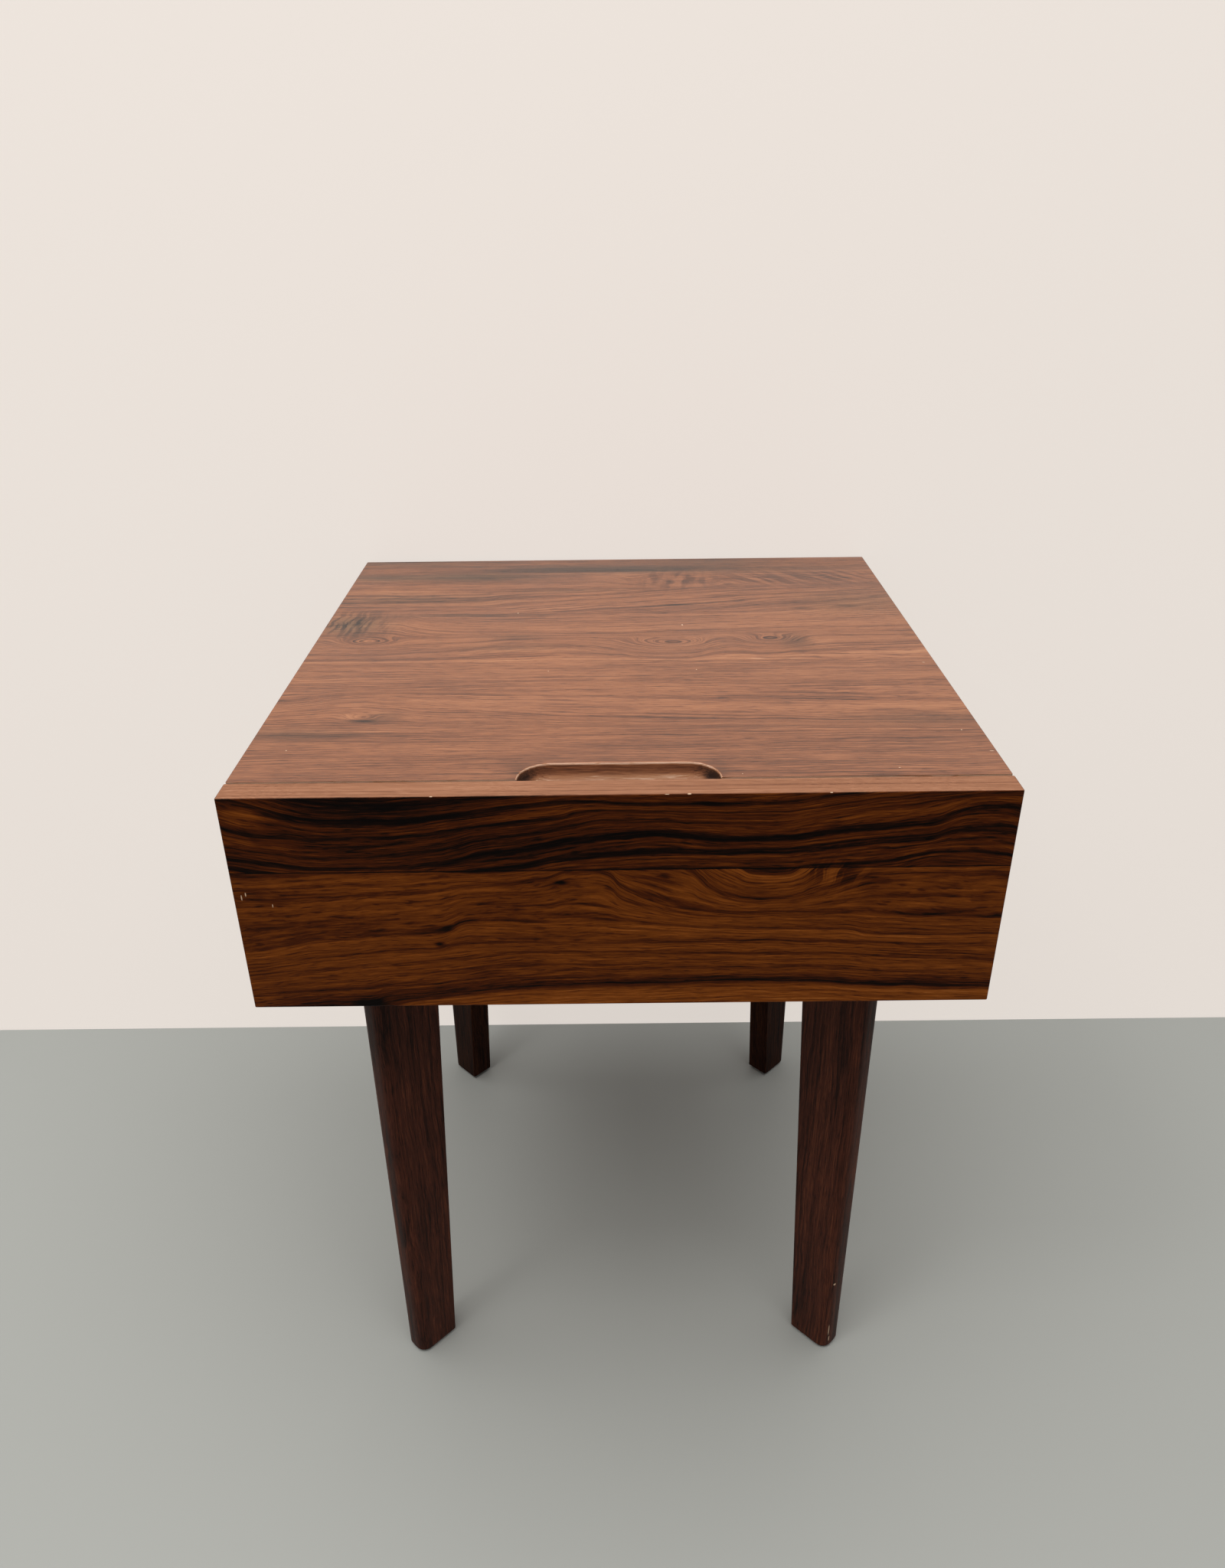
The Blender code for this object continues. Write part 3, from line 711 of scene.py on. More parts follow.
    def curl(self, tree: bpy.types.NodeTree, place: Place, tone: NodeValue) -> NodeValue:
        """Draw the patches of curly figure.

        Args:
            tree: The node tree.
            place: The point's place.
            tone: The tone so far.

        Returns:
            The tone.
        """
        for ripple in self.ripples:
            bell = self.area(tree, place, ripple)
            crossing = add_node(tree, VECTOR_MATH, DOT_PRODUCT, {0: place.spot, 1: (1.0, ripple.lean, 0.0)})
            stripe_place = add_node(tree, COMBINE, inputs={0: crossing.outputs["Value"], 1: place.level})
            stripes = Layer((ripple.pitch, STRIPE_LENGTH, 1), 1.5, 0.5, ripple.pitch).noise(tree,
                                                                                            stripe_place)
            stripe = add_node(tree, MAP_RANGE, SMOOTH, {"Value": stripes, "From Min": 0.4, "From Max": 0.6,
                                                        "To Min": -0.2, "To Max": 1.0})
            stripe = add_node(tree, MATH, MULTIPLY, {0: bell, 1: stripe})
            tone = add_node(tree, MATH, MULTIPLY_ADD, {0: stripe, 1: ripple.tone, 2: tone})
        return tone

    def seams_and_hollow_light(self, tree: bpy.types.NodeTree, place: Place, tone: NodeValue) -> NodeValue:
        """Darken the glue lines, and paint light and shade into a scooped hollow by its depth: a highlight
        on the rim, shade on the wall and a sheen on the floor.

        Args:
            tree: The node tree.
            place: The point's place.
            tone: The tone so far.

        Returns:
            The tone.
        """
        for plank in self.planks[1:]:
            seam = self.bell(tree, place.grain, (0, plank.start, 0), (0, SEAM_HALF_WIDTH, 0))
            tone = add_node(tree, MATH, MULTIPLY_ADD, {0: seam, 1: -self.seam_tone, 2: tone})
        # Painted light and shade in a scooped hollow, by depth: a highlight on the rim, shade on the wall,
        # a sheen on the floor.
        if self.hollow_light_by_depth:
            last = self.hollow_light_by_depth[-1][0]
            share = add_node(tree, MATH, {"operation": "DIVIDE"}, {0: place.down, 1: last})
            ramp = add_node(tree, RAMP, inputs={"Fac": share})
            set_stops(ramp, [(depth / last, (0.5 + tone_there,) * 3 + (1.0,))
                             for depth, tone_there in self.hollow_light_by_depth])
            hollow = add_node(tree, MATH, SUBTRACT, {0: ramp, 1: 0.5})
            tone = add_node(tree, MATH, ADD, {0: tone, 1: hollow})
        return tone

    def edge_grain_and_top_light(self, tree: bpy.types.NodeTree, place: Place, fibre: NodeValue,
                  colour: NodeValue) -> NodeValue:
        """Give an upward edge its plain side grain in lighter tones, painted light from above, and the
        board's ends their darker end grain.

        Args:
            tree: The node tree.
            place: The point's place.
            fibre: The fibres.
            colour: The colour of the face.

        Returns:
            The colour.
        """
        facing = add_node(tree, "ShaderNodeTexCoord").outputs["Normal"]
        faces = add_node(tree, SEPARATE, inputs={0: facing}).outputs
        clamped = {**MULTIPLY_ADD, "use_clamp": True}
        upward = add_node(tree, MATH, clamped, {0: faces["Z"], 1: 2.0, 2: -1.0})
        sideways = add_node(tree, MATH, {"operation": "ABSOLUTE"}, {0: faces["X"]})
        ends = add_node(tree, MATH, clamped, {0: sideways, 1: 2.0, 2: -1.0})
        side_grain = add_node(tree, COMBINE, inputs={0: place.along, 1: place.down, 2: place.across})
        plain = Figure.SIDE_GRAIN.noise(tree, side_grain)
        plain = add_node(tree, MATH, MULTIPLY_ADD, {0: fibre, 1: 0.9, 2: plain})
        plain = add_node(tree, MATH, MULTIPLY_ADD, {0: ends, 1: END_GRAIN_TONE, 2: plain})
        ramp = add_node(tree, RAMP, inputs={"Fac": plain})
        set_stops(ramp, [(level, linear(shade_there)) for level, shade_there in self.edge_grain_and_top_light_tones])
        cut = add_node(tree, MATH, {"operation": "MAXIMUM"}, {0: upward, 1: ends})
        return add_node(tree, MIX, BLEND, {0: cut, 6: colour, 7: ramp}).outputs[2]

    def bare_nicks(self, tree: bpy.types.NodeTree, colour: NodeValue) -> NodeValue:
        """Show pale bare wood in the nicks.

        Args:
            tree: The node tree.
            colour: The colour so far.

        Returns:
            The colour.
        """
        world = add_node(tree, "ShaderNodeTexCoord").outputs["Object"]
        bare = 0.0
        for nick in self.nicks:
            bell = self.bell(tree, world, nick.place, nick.reach)
            bare = add_node(tree, MATH, {"operation": "MAXIMUM"}, {0: bare, 1: bell})
        bare = add_node(tree, MAP_RANGE, SMOOTH, {"Value": bare, "From Min": 0.3, "From Max": 0.55})
        return add_node(tree, MIX, BLEND, {0: bare, 6: colour, 7: linear(BARE_WOOD)}).outputs[2]

    def build(self) -> bpy.types.Material:
        """Make the material.

        Returns:
            The finished walnut.
        """
        material, tree = new_material(self.name)
        place = self.find_place(tree)
        tone, straight, wood = self.lay_planks(tree, place)
        tone = self.growth(tree, place, wood, straight, tone)
        tone, fibre, pore = self.fibres(tree, wood, tone)
        cloud = add_node(tree, MATH, SUBTRACT, {0: Figure.CLOUD.noise(tree, place.grain), 1: MEAN})
        tone = add_node(tree, MATH, MULTIPLY_ADD, {0: cloud, 1: CLOUD_TONE, 2: tone})
        grey = 0.0
        for patch in self.patches:
            bell = self.area(tree, place, patch)
            tone = add_node(tree, MATH, MULTIPLY_ADD, {0: bell, 1: patch.tone, 2: tone})
            if patch.grey:
                grey = add_node(tree, MATH, MULTIPLY_ADD, {0: bell, 1: patch.grey, 2: grey})
        tone = self.curl(tree, place, tone)
        tone = self.seams_and_hollow_light(tree, place, tone)

        ramp = add_node(tree, RAMP, inputs={"Fac": tone})
        set_stops(ramp, [(level, linear(colour)) for level, colour in self.tones])
        colour = ramp.outputs[0]
        # An upward edge gets lighter tones: painted light from above, over its side grain.
        if self.edge_grain_and_top_light_tones:
            colour = self.edge_grain_and_top_light(tree, place, fibre, colour)
        if any(patch.grey for patch in self.patches):
            cooled = add_node(tree, MIX, {**BLEND, "blend_type": "MULTIPLY"},
                              {0: grey, 6: colour, 7: linear(COOL_BROWN)})
            colour = cooled.outputs[2]
        if self.nicks:
            colour = self.bare_nicks(tree, colour)

        raised = add_node(tree, MATH, MULTIPLY, {0: fibre, 1: 0.9})
        height = add_node(tree, MATH, MULTIPLY_ADD, {0: pore, 1: -0.8, 2: raised})
        bump = add_node(tree, BUMP, inputs={"Strength": 0.22, "Distance": 0.4 * MM, "Height": height})
        dull = add_node(tree, MATH, ADD, {0: fibre, 1: cloud})
        rough = add_node(tree, MATH, MULTIPLY_ADD, {0: dull, 1: ROUGHNESS_SWING, 2: self.roughness})
        add_surface(tree, {"Base Color": colour, "Roughness": rough, "IOR": WOOD_IOR, "Normal": bump,
                           "Specular IOR Level": self.specular})
        return material


# Top: seven boards with the grain from left to right. The wood is warm where it is plain and
# goes cool and dark in streaks toward the back, with eyes and curl round small knots.
TOP_WALNUT = Walnut(
    name="lacquered_walnut_top",
    tones=((0.0, "2a1812"), (0.2, "4f3123"), (0.45, "794a32"), (0.62, "955f40"), (0.8, "a8704d"),
           (0.9, "b07a55"), (1.0, "d4a98d")),
    planks=(
        Plank(-60, 43, -0.12, 31.0),
        Plank(43, 96, -0.04, 57.0,
              swirls=(Swirl(18, 70, 20, 16, 12, 0.4), Swirl(110, 74, 14, 14, -12, 0.4),
                      Swirl(196, 70, 20, 14, 12, 0.4))),
        Plank(96, 163, -0.01, 57.0,
              contours=(Contour(110,
                                ((-254, 104), (-160, 104), (-100, 103), (-30, 97), (40, 88),
                                 (254, 55))),
                        Contour(122,
                                ((-254, 132), (-200, 131), (-125, 128), (-105, 122), (-60, 116),
                                 (0, 111), (40, 103), (80, 97), (160, 84), (254, 70))),
                        Contour(134,
                                ((-254, 143), (-170, 142), (-115, 140), (-98, 134), (-60, 131),
                                 (0, 124), (40, 117), (80, 110), (120, 105), (180, 98), (254, 90))),
                        Contour(146,
                                ((-254, 157), (-160, 154), (-100, 151), (-80, 147), (-40, 141),
                                 (0, 137), (60, 128), (100, 122), (140, 117), (180, 112), (254, 104))),
                        Contour(158,
                                ((-254, 166), (-60, 161), (0, 153), (60, 146), (100, 138), (130, 129),
                                 (180, 122), (254, 114))),
                        Contour(170,
                                ((-254, 180), (0, 166), (60, 160), (140, 148), (180, 142),
                                 (254, 128)))),
              rings=((100, 0.0), (118, 0.02), (122, -0.14), (125, 0.0), (131, 0.04), (134, -0.13),
                     (137, 0.02), (143, 0.03), (146, -0.1), (149, 0.03), (155, 0.02), (158, -0.14),
                     (161, 0.02), (168, -0.08), (174, 0.0))),
        Plank(163, 281, 0.02, 0.0,
              contours=(Contour(166, ((-254, 160), (0, 160), (254, 150))),
                        Contour(180,
                                ((-254, 172), (-190, 169), (-170, 176), (-120, 179), (0, 179),
                                 (60, 178), (130, 175), (200, 166), (254, 160))),
                        Contour(210,
                                ((-254, 196), (-200, 190), (-180, 197), (-150, 208), (-110, 213),
                                 (-50, 217), (0, 219), (50, 214), (100, 212), (140, 208), (180, 208),
                                 (254, 204))),
                        Contour(240,
                                ((-254, 236), (-160, 238), (-120, 236), (-80, 229), (-20, 227),
                                 (20, 230), (130, 230), (180, 228), (254, 228))),
                        Contour(262,
                                ((-254, 262), (-200, 262), (-160, 257), (-120, 251), (-90, 245),
                                 (-50, 245), (-10, 252), (20, 262), (45, 266), (70, 262), (95, 252),
                                 (120, 258), (145, 254), (180, 246), (254, 244))),
                        Contour(275,
                                ((-254, 276), (-150, 274), (-90, 271), (-40, 268), (0, 270),
                                 (20, 275.5), (45, 277), (65, 274), (82, 268), (100, 266), (122, 269),
                                 (145, 266), (180, 263), (254, 258))),
                        Contour(283, ((-254, 286), (0, 284), (254, 282)))),
              swirls=(Swirl(48, 243, 34, 13, 22, 1.1), Swirl(130, 237, 24, 13, 24, 1.1),
                      Swirl(-208, 233, 26, 12, 18, 0.7)),
              rings=((160, 0.0), (168, -0.14), (172, -0.08), (176, 0.04), (179, -0.1), (182, 0.0),
                     (205, 0.03), (209, -0.1), (212, 0.0), (222, 0.0), (226, -0.08), (229, 0.02),
                     (236, 0.03), (240, -0.12), (244, -0.02), (252, 0.04), (258, 0.0), (262, -0.16),
                     (265, -0.02), (270, 0.0), (273, -0.16), (275.5, -0.14), (277, 0.09), (283, 0.08))),
        Plank(281, 338, 0.0, 83.0),
        Plank(338, 412, -0.03, 19.0,
              contours=(Contour(338, ((-254, 338), (254, 338))),
                        Contour(350,
                                ((-254, 358), (-230, 353), (-210, 347), (-180, 344), (-120, 346),
                                 (-100, 349), (-60, 351), (0, 356), (60, 359), (120, 362), (180, 366),
                                 (254, 367))),
                        Contour(374,
                                ((-254, 377), (-220, 371), (-195, 367), (-170, 370), (-140, 377),
                                 (-100, 381), (-40, 388), (0, 391), (80, 396), (254, 402))),
                        Contour(412, ((-254, 413), (254, 414)))),
              swirls=(Swirl(-184, 388, 16, 7, 9),),
              rings=((338, 0.0), (346, 0.0), (349, -0.12), (352, 0.06), (360, 0.07), (366, 0.02),
                     (372, 0.0), (374, -0.14), (377, 0.0), (412, 0.0))),
        Plank(412, 1000, -0.05, 127.0),
    ),
    patches=(
        Patch(-210, 8, 70, 12, 0.02, 0.5), Patch(-140, 56, 62, 13, -0.22, 1.0),
        Patch(-226, 54, 40, 10, -0.1, 0.7), Patch(-50, 30, 70, 14, -0.12, 0.7),
        Patch(30, 34, 60, 9, -0.12, 0.7), Patch(100, 12, 60, 10, -0.06, 0.5),
        Patch(0, 60, 26, 18, 0.14), Patch(130, 36, 120, 14, -0.04, 0.4), Patch(-200, 98, 46, 4, 0.12),
        Patch(-40, 100, 50, 5, -0.1, 0.4), Patch(-190, 122, 80, 13, -0.08, 0.5),
        Patch(220, 140, 60, 30, -0.05, 0.4), Patch(56, 146.5, 13, 2.8, -0.3, 0.3),
        Patch(168, 158, 9, 3, -0.22, 0.3), Patch(208, 152, 12, 4, -0.2, 0.3),
        Patch(-130, 168, 60, 4, -0.14, 0.4), Patch(-230, 190, 26, 24, -0.14, 1.0),
        Patch(-85, 225, 22, 8, -0.1, 0.3), Patch(-90, 250, 40, 8, -0.08, 0.3),
        Patch(-120, 234, 26, 12, 0.08), Patch(48, 250, 20, 10, 0.08),
        Patch(150, 242, 12, 17, -0.16, 0.4), Patch(171, 240, 10, 16, 0.1), Patch(242, 174, 12, 8, 0.08),
        Patch(-7, 313, 14, 10, 0.1), Patch(60, 364, 150, 5, 0.04), Patch(-183, 392, 9, 2.4, -0.5, 0.4),
        Patch(-193, 384, 8, 5, 0.16), Patch(-174, 377, 9, 6, 0.12),
        # Patches set 9 to 10 mm down lie inside the finger pull: painted shade darkens and greys its two
        # ends and, faintly, the whole hollow, and two narrow painted highlights run up inside it beside the
        # ends.
        Patch(-64, 478, 9, 14, -0.55, 0.5, 9, 8), Patch(64, 478, 10, 14, -0.6, 0.5, 9, 8),
        Patch(0, 480, 64, 18, -0.02, 0.3, 10, 7), Patch(-54, 479, 2.5, 10, 0.22, 0.0, 10, 7),
        Patch(54, 479, 2.5, 10, 0.22, 0.0, 10, 7), Patch(-150, 480, 84, 22, -0.06),
        Patch(-170, 386, 14, 9, -0.1, 0.3), Patch(-225, 415, 40, 10, -0.08, 0.4),
        Patch(220, 398, 60, 12, -0.08, 0.3),
    ),
    ripples=(Ripple(58, 70, 30, 24, 9, 0.1, -0.3), Ripple(150, 68, 52, 22, 10, -0.75, -0.24),
             Ripple(222, 66, 30, 22, 9, -0.9, -0.2), Ripple(-232, 188, 28, 25, 4.2, 0.12, -0.42)),
    base_tone=0.61, line_tone=0.06, streak_tone=0.14, ring_tone=0.23, ring_pitch=3.2, fibre_tone=0.1,
    wander=6.0, seam_tone=0.03, roughness=0.4, specular=0.35,
    # Painted light in the finger pull, by depth: a painted highlight along the rim (0.1 to 1.8 mm down),
    # painted shade on the cove wall (3.5 to 6 mm) and a painted sheen on its floor (7.8 to 20 mm). The
    # palest tone, d4a98d, serves mainly these painted highlights.
    hollow_light_by_depth=((0.0, 0.0), (0.1, 0.2), (0.3, 0.65), (1.2, 0.65), (1.8, 0.0), (3.5, -0.12), (6.0, -0.06),
            (7.8, 0.1), (9.4, 0.34), (17.0, 0.4), (20.0, 0.1)),
    nicks=(
        Nick((0.0575, 0.0556, 0.6096), (0.0006, 0.0016, 0.01)),
        Nick((0.0627, -0.0476, 0.6096), (0.0005, 0.0006, 0.01)),
        Nick((-0.054, -0.0476, 0.6096), (0.0004, 0.0006, 0.01)),
        Nick((0.244, -0.0376, 0.6096), (0.0012, 0.0004, 0.01)),
        Nick((0.239, -0.1643, 0.6096), (0.0005, 0.0007, 0.01)),
        Nick((-0.2256, -0.186, 0.6096), (0.0005, 0.0006, 0.01)),
        Nick((-0.0875, 0.091, 0.6096), (0.0004, 0.0014, 0.01)),
        Nick((0.183, -0.221, 0.6096), (0.0007, 0.0004, 0.01)),
        Nick((0.08, -0.2275, 0.6096), (0.0004, 0.0004, 0.01)),
        Nick((0.25, -0.198, 0.6096), (0.0016, 0.0004, 0.01)),
    ),
)

# Drawer front: a dark upper board whose near-black lines run up to the right, and a warmer
# lower board with half an eye hanging from the joint and a black streak low down.
FRONT_WALNUT = Walnut(
    name="lacquered_walnut_drawer_front",
    tones=((0.0, "070201"), (0.16, "1e0a03"), (0.38, "491d05"), (0.6, "70370b"), (0.8, "8e4b16"),
           (1.0, "b06f38")),
    planks=(
        Plank(-50, 55.5, -0.13, 43.0,
              contours=(Contour(5,
                                ((-254, -10), (-220, -2), (-190, 4), (-160, 6), (-130, 5), (-100, 3.5),
                                 (-80, 2), (-50, -1), (0, -6), (60, -6), (120, -10), (200, -18),
                                 (254, -24))),
                        Contour(17,
                                ((-254, 0), (-240, 4), (-225, 9), (-210, 14), (-195, 17), (-175, 18),
                                 (-150, 17.5), (-120, 15), (-100, 12), (-80, 9), (-60, 6.5), (-30, 5),
                                 (0, 6.5), (60, 8), (100, 7), (140, 2), (180, -3), (254, -12))),
                        Contour(28,
                                ((-254, 20), (-245, 24), (-230, 27), (-210, 28), (-195, 30), (-170, 30),
                                 (-145, 29), (-120, 27), (-100, 24), (-80, 20.5), (-60, 19),
                                 (-40, 16.5), (-20, 12), (0, 11), (60, 14), (100, 13), (140, 8),
                                 (200, 1), (254, -5))),
                        Contour(39,
                                ((-254, 35), (-220, 40), (-200, 43.5), (-170, 44), (-140, 42),
                                 (-120, 40), (-105, 36), (-90, 32), (-60, 28), (-30, 22), (0, 18),
                                 (60, 21.5), (100, 22), (120, 19), (160, 12.5), (200, 7), (222, 3),
                                 (254, 2))),
                        Contour(50,
                                ((-254, 44), (-235, 47), (-215, 50.5), (-190, 53), (-160, 53),
                                 (-140, 51.5), (-120, 49.5), (-105, 47), (-92, 43), (-80, 40.5),
                                 (-65, 39.5), (-50, 36.5), (-35, 33), (-20, 31), (0, 29), (20, 28),
                                 (40, 29.5), (60, 32), (85, 33), (110, 31.5), (130, 28.5), (150, 26.5),
                                 (180, 23.5), (200, 20.5), (212, 16), (222, 12.5), (235, 11),
                                 (254, 13))),
                        Contour(58,
                                ((-254, 50), (-235, 53.5), (-200, 57), (-140, 58), (-100, 56),
                                 (-80, 53.5), (-60, 51.5), (-45, 48.5), (-25, 46), (0, 43), (20, 41),
                                 (60, 42), (95, 42), (120, 40.5), (140, 38), (160, 36), (180, 33.5),
                                 (198, 32), (208, 28.5), (220, 26), (235, 26), (254, 29))),
                        Contour(68,
                                ((-254, 62), (-120, 68), (-60, 62), (0, 55), (60, 55), (100, 55.5),
                                 (130, 54), (155, 52), (175, 50), (195, 46), (212, 44), (235, 45),
                                 (254, 48)))),
              rings=((-10, 0.02), (2, -0.06), (5, -0.2), (8, -0.04), (14, -0.02), (16, -0.26),
                     (18, -0.24), (20, 0.0), (26, 0.02), (28, -0.24), (30, -0.04), (36, 0.03),
                     (39, -0.12), (42, 0.04), (47, 0.0), (49, -0.28), (51, -0.26), (53, 0.0), (56, 0.0),
                     (57.4, -0.29), (59, -0.25), (61, 0.02), (66, 0.02), (68, -0.22), (71, 0.0),
                     (80, 0.0))),
        Plank(55.5, 1000, 0.06, 0.0,
              contours=(Contour(60,
                                ((-254, 45), (-60, 46), (0, 40), (50, 42), (70, 50), (80, 56), (92, 60),
                                 (104, 60), (114, 57), (122, 50), (140, 44), (254, 42))),
                        Contour(68,
                                ((-254, 50), (-60, 50), (0, 46), (40, 46), (58, 52), (66, 57), (76, 62),
                                 (88, 66), (102, 67), (116, 64), (126, 57), (136, 52), (160, 50),
                                 (254, 50))),
                        Contour(78,
                                ((-254, 57), (-150, 56), (-60, 54), (0, 50), (30, 50), (45, 54),
                                 (52, 61), (62, 71), (74, 77), (90, 79.5), (110, 79), (125, 75),
                                 (140, 70), (155, 64), (170, 61), (254, 62))),
                        Contour(88,
                                ((-254, 75), (-150, 72), (-90, 66), (-50, 62), (-20, 55), (-10, 57),
                                 (0, 68), (10, 74), (22, 79), (40, 86), (60, 88.5), (100, 90),
                                 (150, 89.5), (180, 91), (210, 93.5), (254, 95))),
                        Contour(104,
                                ((-254, 119), (-240, 117), (-220, 114), (-205, 110.5), (-180, 108),
                                 (-150, 106.5), (-125, 106), (-113, 103), (-105, 98.5), (-95, 96.5),
                                 (-60, 96), (-20, 96.5), (0, 98), (40, 101), (80, 104), (140, 104.5),
                                 (155, 105.5), (168, 108.5), (200, 109), (254, 110))),
                        Contour(113,
                                ((-254, 128), (-240, 127), (-215, 123), (-190, 120.5), (-170, 118),
                                 (-140, 116), (-125, 115.5), (-116, 113), (-106, 111.5), (-90, 111),
                                 (0, 112), (80, 112), (160, 114), (254, 117))),
                        Contour(124,
                                ((-254, 138), (-220, 134), (-190, 131), (-150, 128), (-110, 125),
                                 (-60, 120), (0, 121), (60, 122), (150, 124), (170, 126), (210, 128),
                                 (254, 130))),
                        Contour(146,
                                ((-254, 168), (-200, 165), (-180, 164), (-170, 162.5), (-160, 159),
                                 (-140, 156.5), (-120, 154), (-100, 152), (-80, 150), (-60, 148.5),
                                 (-40, 147.5), (0, 147), (40, 146.5), (80, 145.5), (110, 146),
                                 (150, 148), (200, 150), (254, 152))),
                        Contour(153,
                                ((-254, 180), (-170, 172), (-140, 163), (-100, 157), (-60, 153.5),
                                 (0, 152), (60, 150.5), (100, 150), (140, 151), (180, 154.5),
                                 (254, 157)))),
              rings=((56, -0.34), (60, -0.3), (62.5, 0.1), (66, 0.14), (69, 0.02), (75, 0.0),
                     (77.5, -0.2), (80, 0.0), (86, 0.02), (88, -0.2), (90, 0.02), (96, 0.03),
                     (100, -0.02), (103, -0.14), (104.5, 0.14), (108, 0.08), (112, 0.02),
                     (113.5, -0.12), (116, 0.04), (122, 0.0), (124, -0.12), (126, 0.02), (134, 0.0),
                     (136, -0.1), (138, 0.0), (142, -0.12), (144.5, -0.26), (146.5, -0.36), (149, -0.1),
                     (153, 0.16), (170, 0.18))),
    ),
    patches=(
        Patch(-236, 12, 17, 8, 0.3), Patch(-155, 9, 48, 9, -0.16), Patch(-150, 38, 70, 12, -0.08),
        Patch(110, 12, 120, 12, 0.12), Patch(-60, 13, 34, 5, 0.1), Patch(-250, 33, 14, 3, 0.1),
        Patch(56, 7, 12, 2.4, -0.22), Patch(22, 64, 13, 9, -0.14), Patch(-200, 92, 60, 22, -0.1),
        Patch(-38, 65, 3.4, 1.4, -0.5), Patch(-44, 66, 12, 3.6, -0.12),
        Patch(-121, 113, 3.2, 1.6, -0.5), Patch(-114, 101, 4, 2, -0.2), Patch(-172, 162, 9, 3, -0.5),
        Patch(210, 148, 50, 7, -0.12), Patch(-230, 150, 40, 14, -0.05),
    ),
    ripples=(Ripple(141, 60, 17, 7, 3.4, 0.45, -0.34),),
    base_tone=0.5, line_tone=0.055, streak_tone=0.1, ring_tone=0.15, ring_pitch=3.4, fibre_tone=0.1,
    wander=2.0, seam_tone=0.4, roughness=0.45, specular=0.06,
    # The top edge of the front takes lighter, top-like tones: its side grain with painted light from above.
    edge_grain_and_top_light_tones=((0.2, "6b4230"), (0.42, "8d5f45"), (0.6, "9d6c50"), (0.85, "b48467")),
    nicks=(
        Nick((-0.118, -0.254, 0.6094), (0.0012, 0.0006, 0.0005)),
        Nick((0.044, -0.2539, 0.6094), (0.0014, 0.0008, 0.0005)),
        Nick((0.133, -0.254, 0.6094), (0.0012, 0.0006, 0.0005)),
        Nick((0.03, -0.254, 0.6094), (0.0022, 0.0005, 0.0004)),
        Nick((-0.2485, -0.254, 0.5355), (0.0004, 0.001, 0.0022)),
        Nick((-0.2455, -0.254, 0.538), (0.0004, 0.001, 0.0016)),
        Nick((-0.229, -0.254, 0.529), (0.0003, 0.001, 0.0014)),
    ),
)

# Case boards under and behind: the same tree, plainer.
CASE_WALNUT = Walnut(
    name="lacquered_walnut_case",
    tones=((0.0, "26150e"), (0.25, "553020"), (0.5, "83502f"), (0.75, "a06743"), (1.0, "b98258")),
    planks=(Plank(-1000, 62, -0.03, 210.0), Plank(62, 118, 0.05, 97.0), Plank(118, 190, -0.02, 305.0),
            Plank(190, 262, 0.04, 11.0), Plank(262, 340, -0.05, 140.0), Plank(340, 2000, 0.02, 66.0)),
    base_tone=0.52, line_tone=0.1, streak_tone=0.14, ring_tone=0.14, ring_pitch=4.2, fibre_tone=0.075,
    seam_tone=0.05, roughness=0.45,
)

# Legs: darker, redder heartwood with upright grain.
LEG_WALNUT = Walnut(
    name="lacquered_walnut_legs",
    tones=((0.0, "130705"), (0.25, "2c150e"), (0.5, "4c261a"), (0.75, "6c3c27"), (1.0, "8e583a")),
    base_tone=0.46, line_tone=0.1, streak_tone=0.16, ring_tone=0.16, ring_pitch=4.6, fibre_tone=0.1,
    wander=9.0, roughness=0.45, specular=0.07,
    nicks=(Nick((0.187, -0.1974, 0.085), (0.0016, 0.002, 0.0018)),
           Nick((0.1868, -0.1972, 0.024), (0.0005, 0.003, 0.009)),
           Nick((0.1878, -0.1972, 0.012), (0.0005, 0.003, 0.004))),
)
# Rear legs: the same walnut with darker tones and less sheen. The darker tones are partly painted shade,
# for where the rear legs stand under the table, and partly their darker wood.
SHADED_REAR_LEG_WALNUT = replace(
    LEG_WALNUT, name="lacquered_walnut_rear_legs_painted_shade", nicks=(), specular=0.03,
    tones=((0.0, "0b0403"), (0.25, "190b07"), (0.5, "331a10"), (0.75, "54301c"), (1.0, "7a4c2e")))


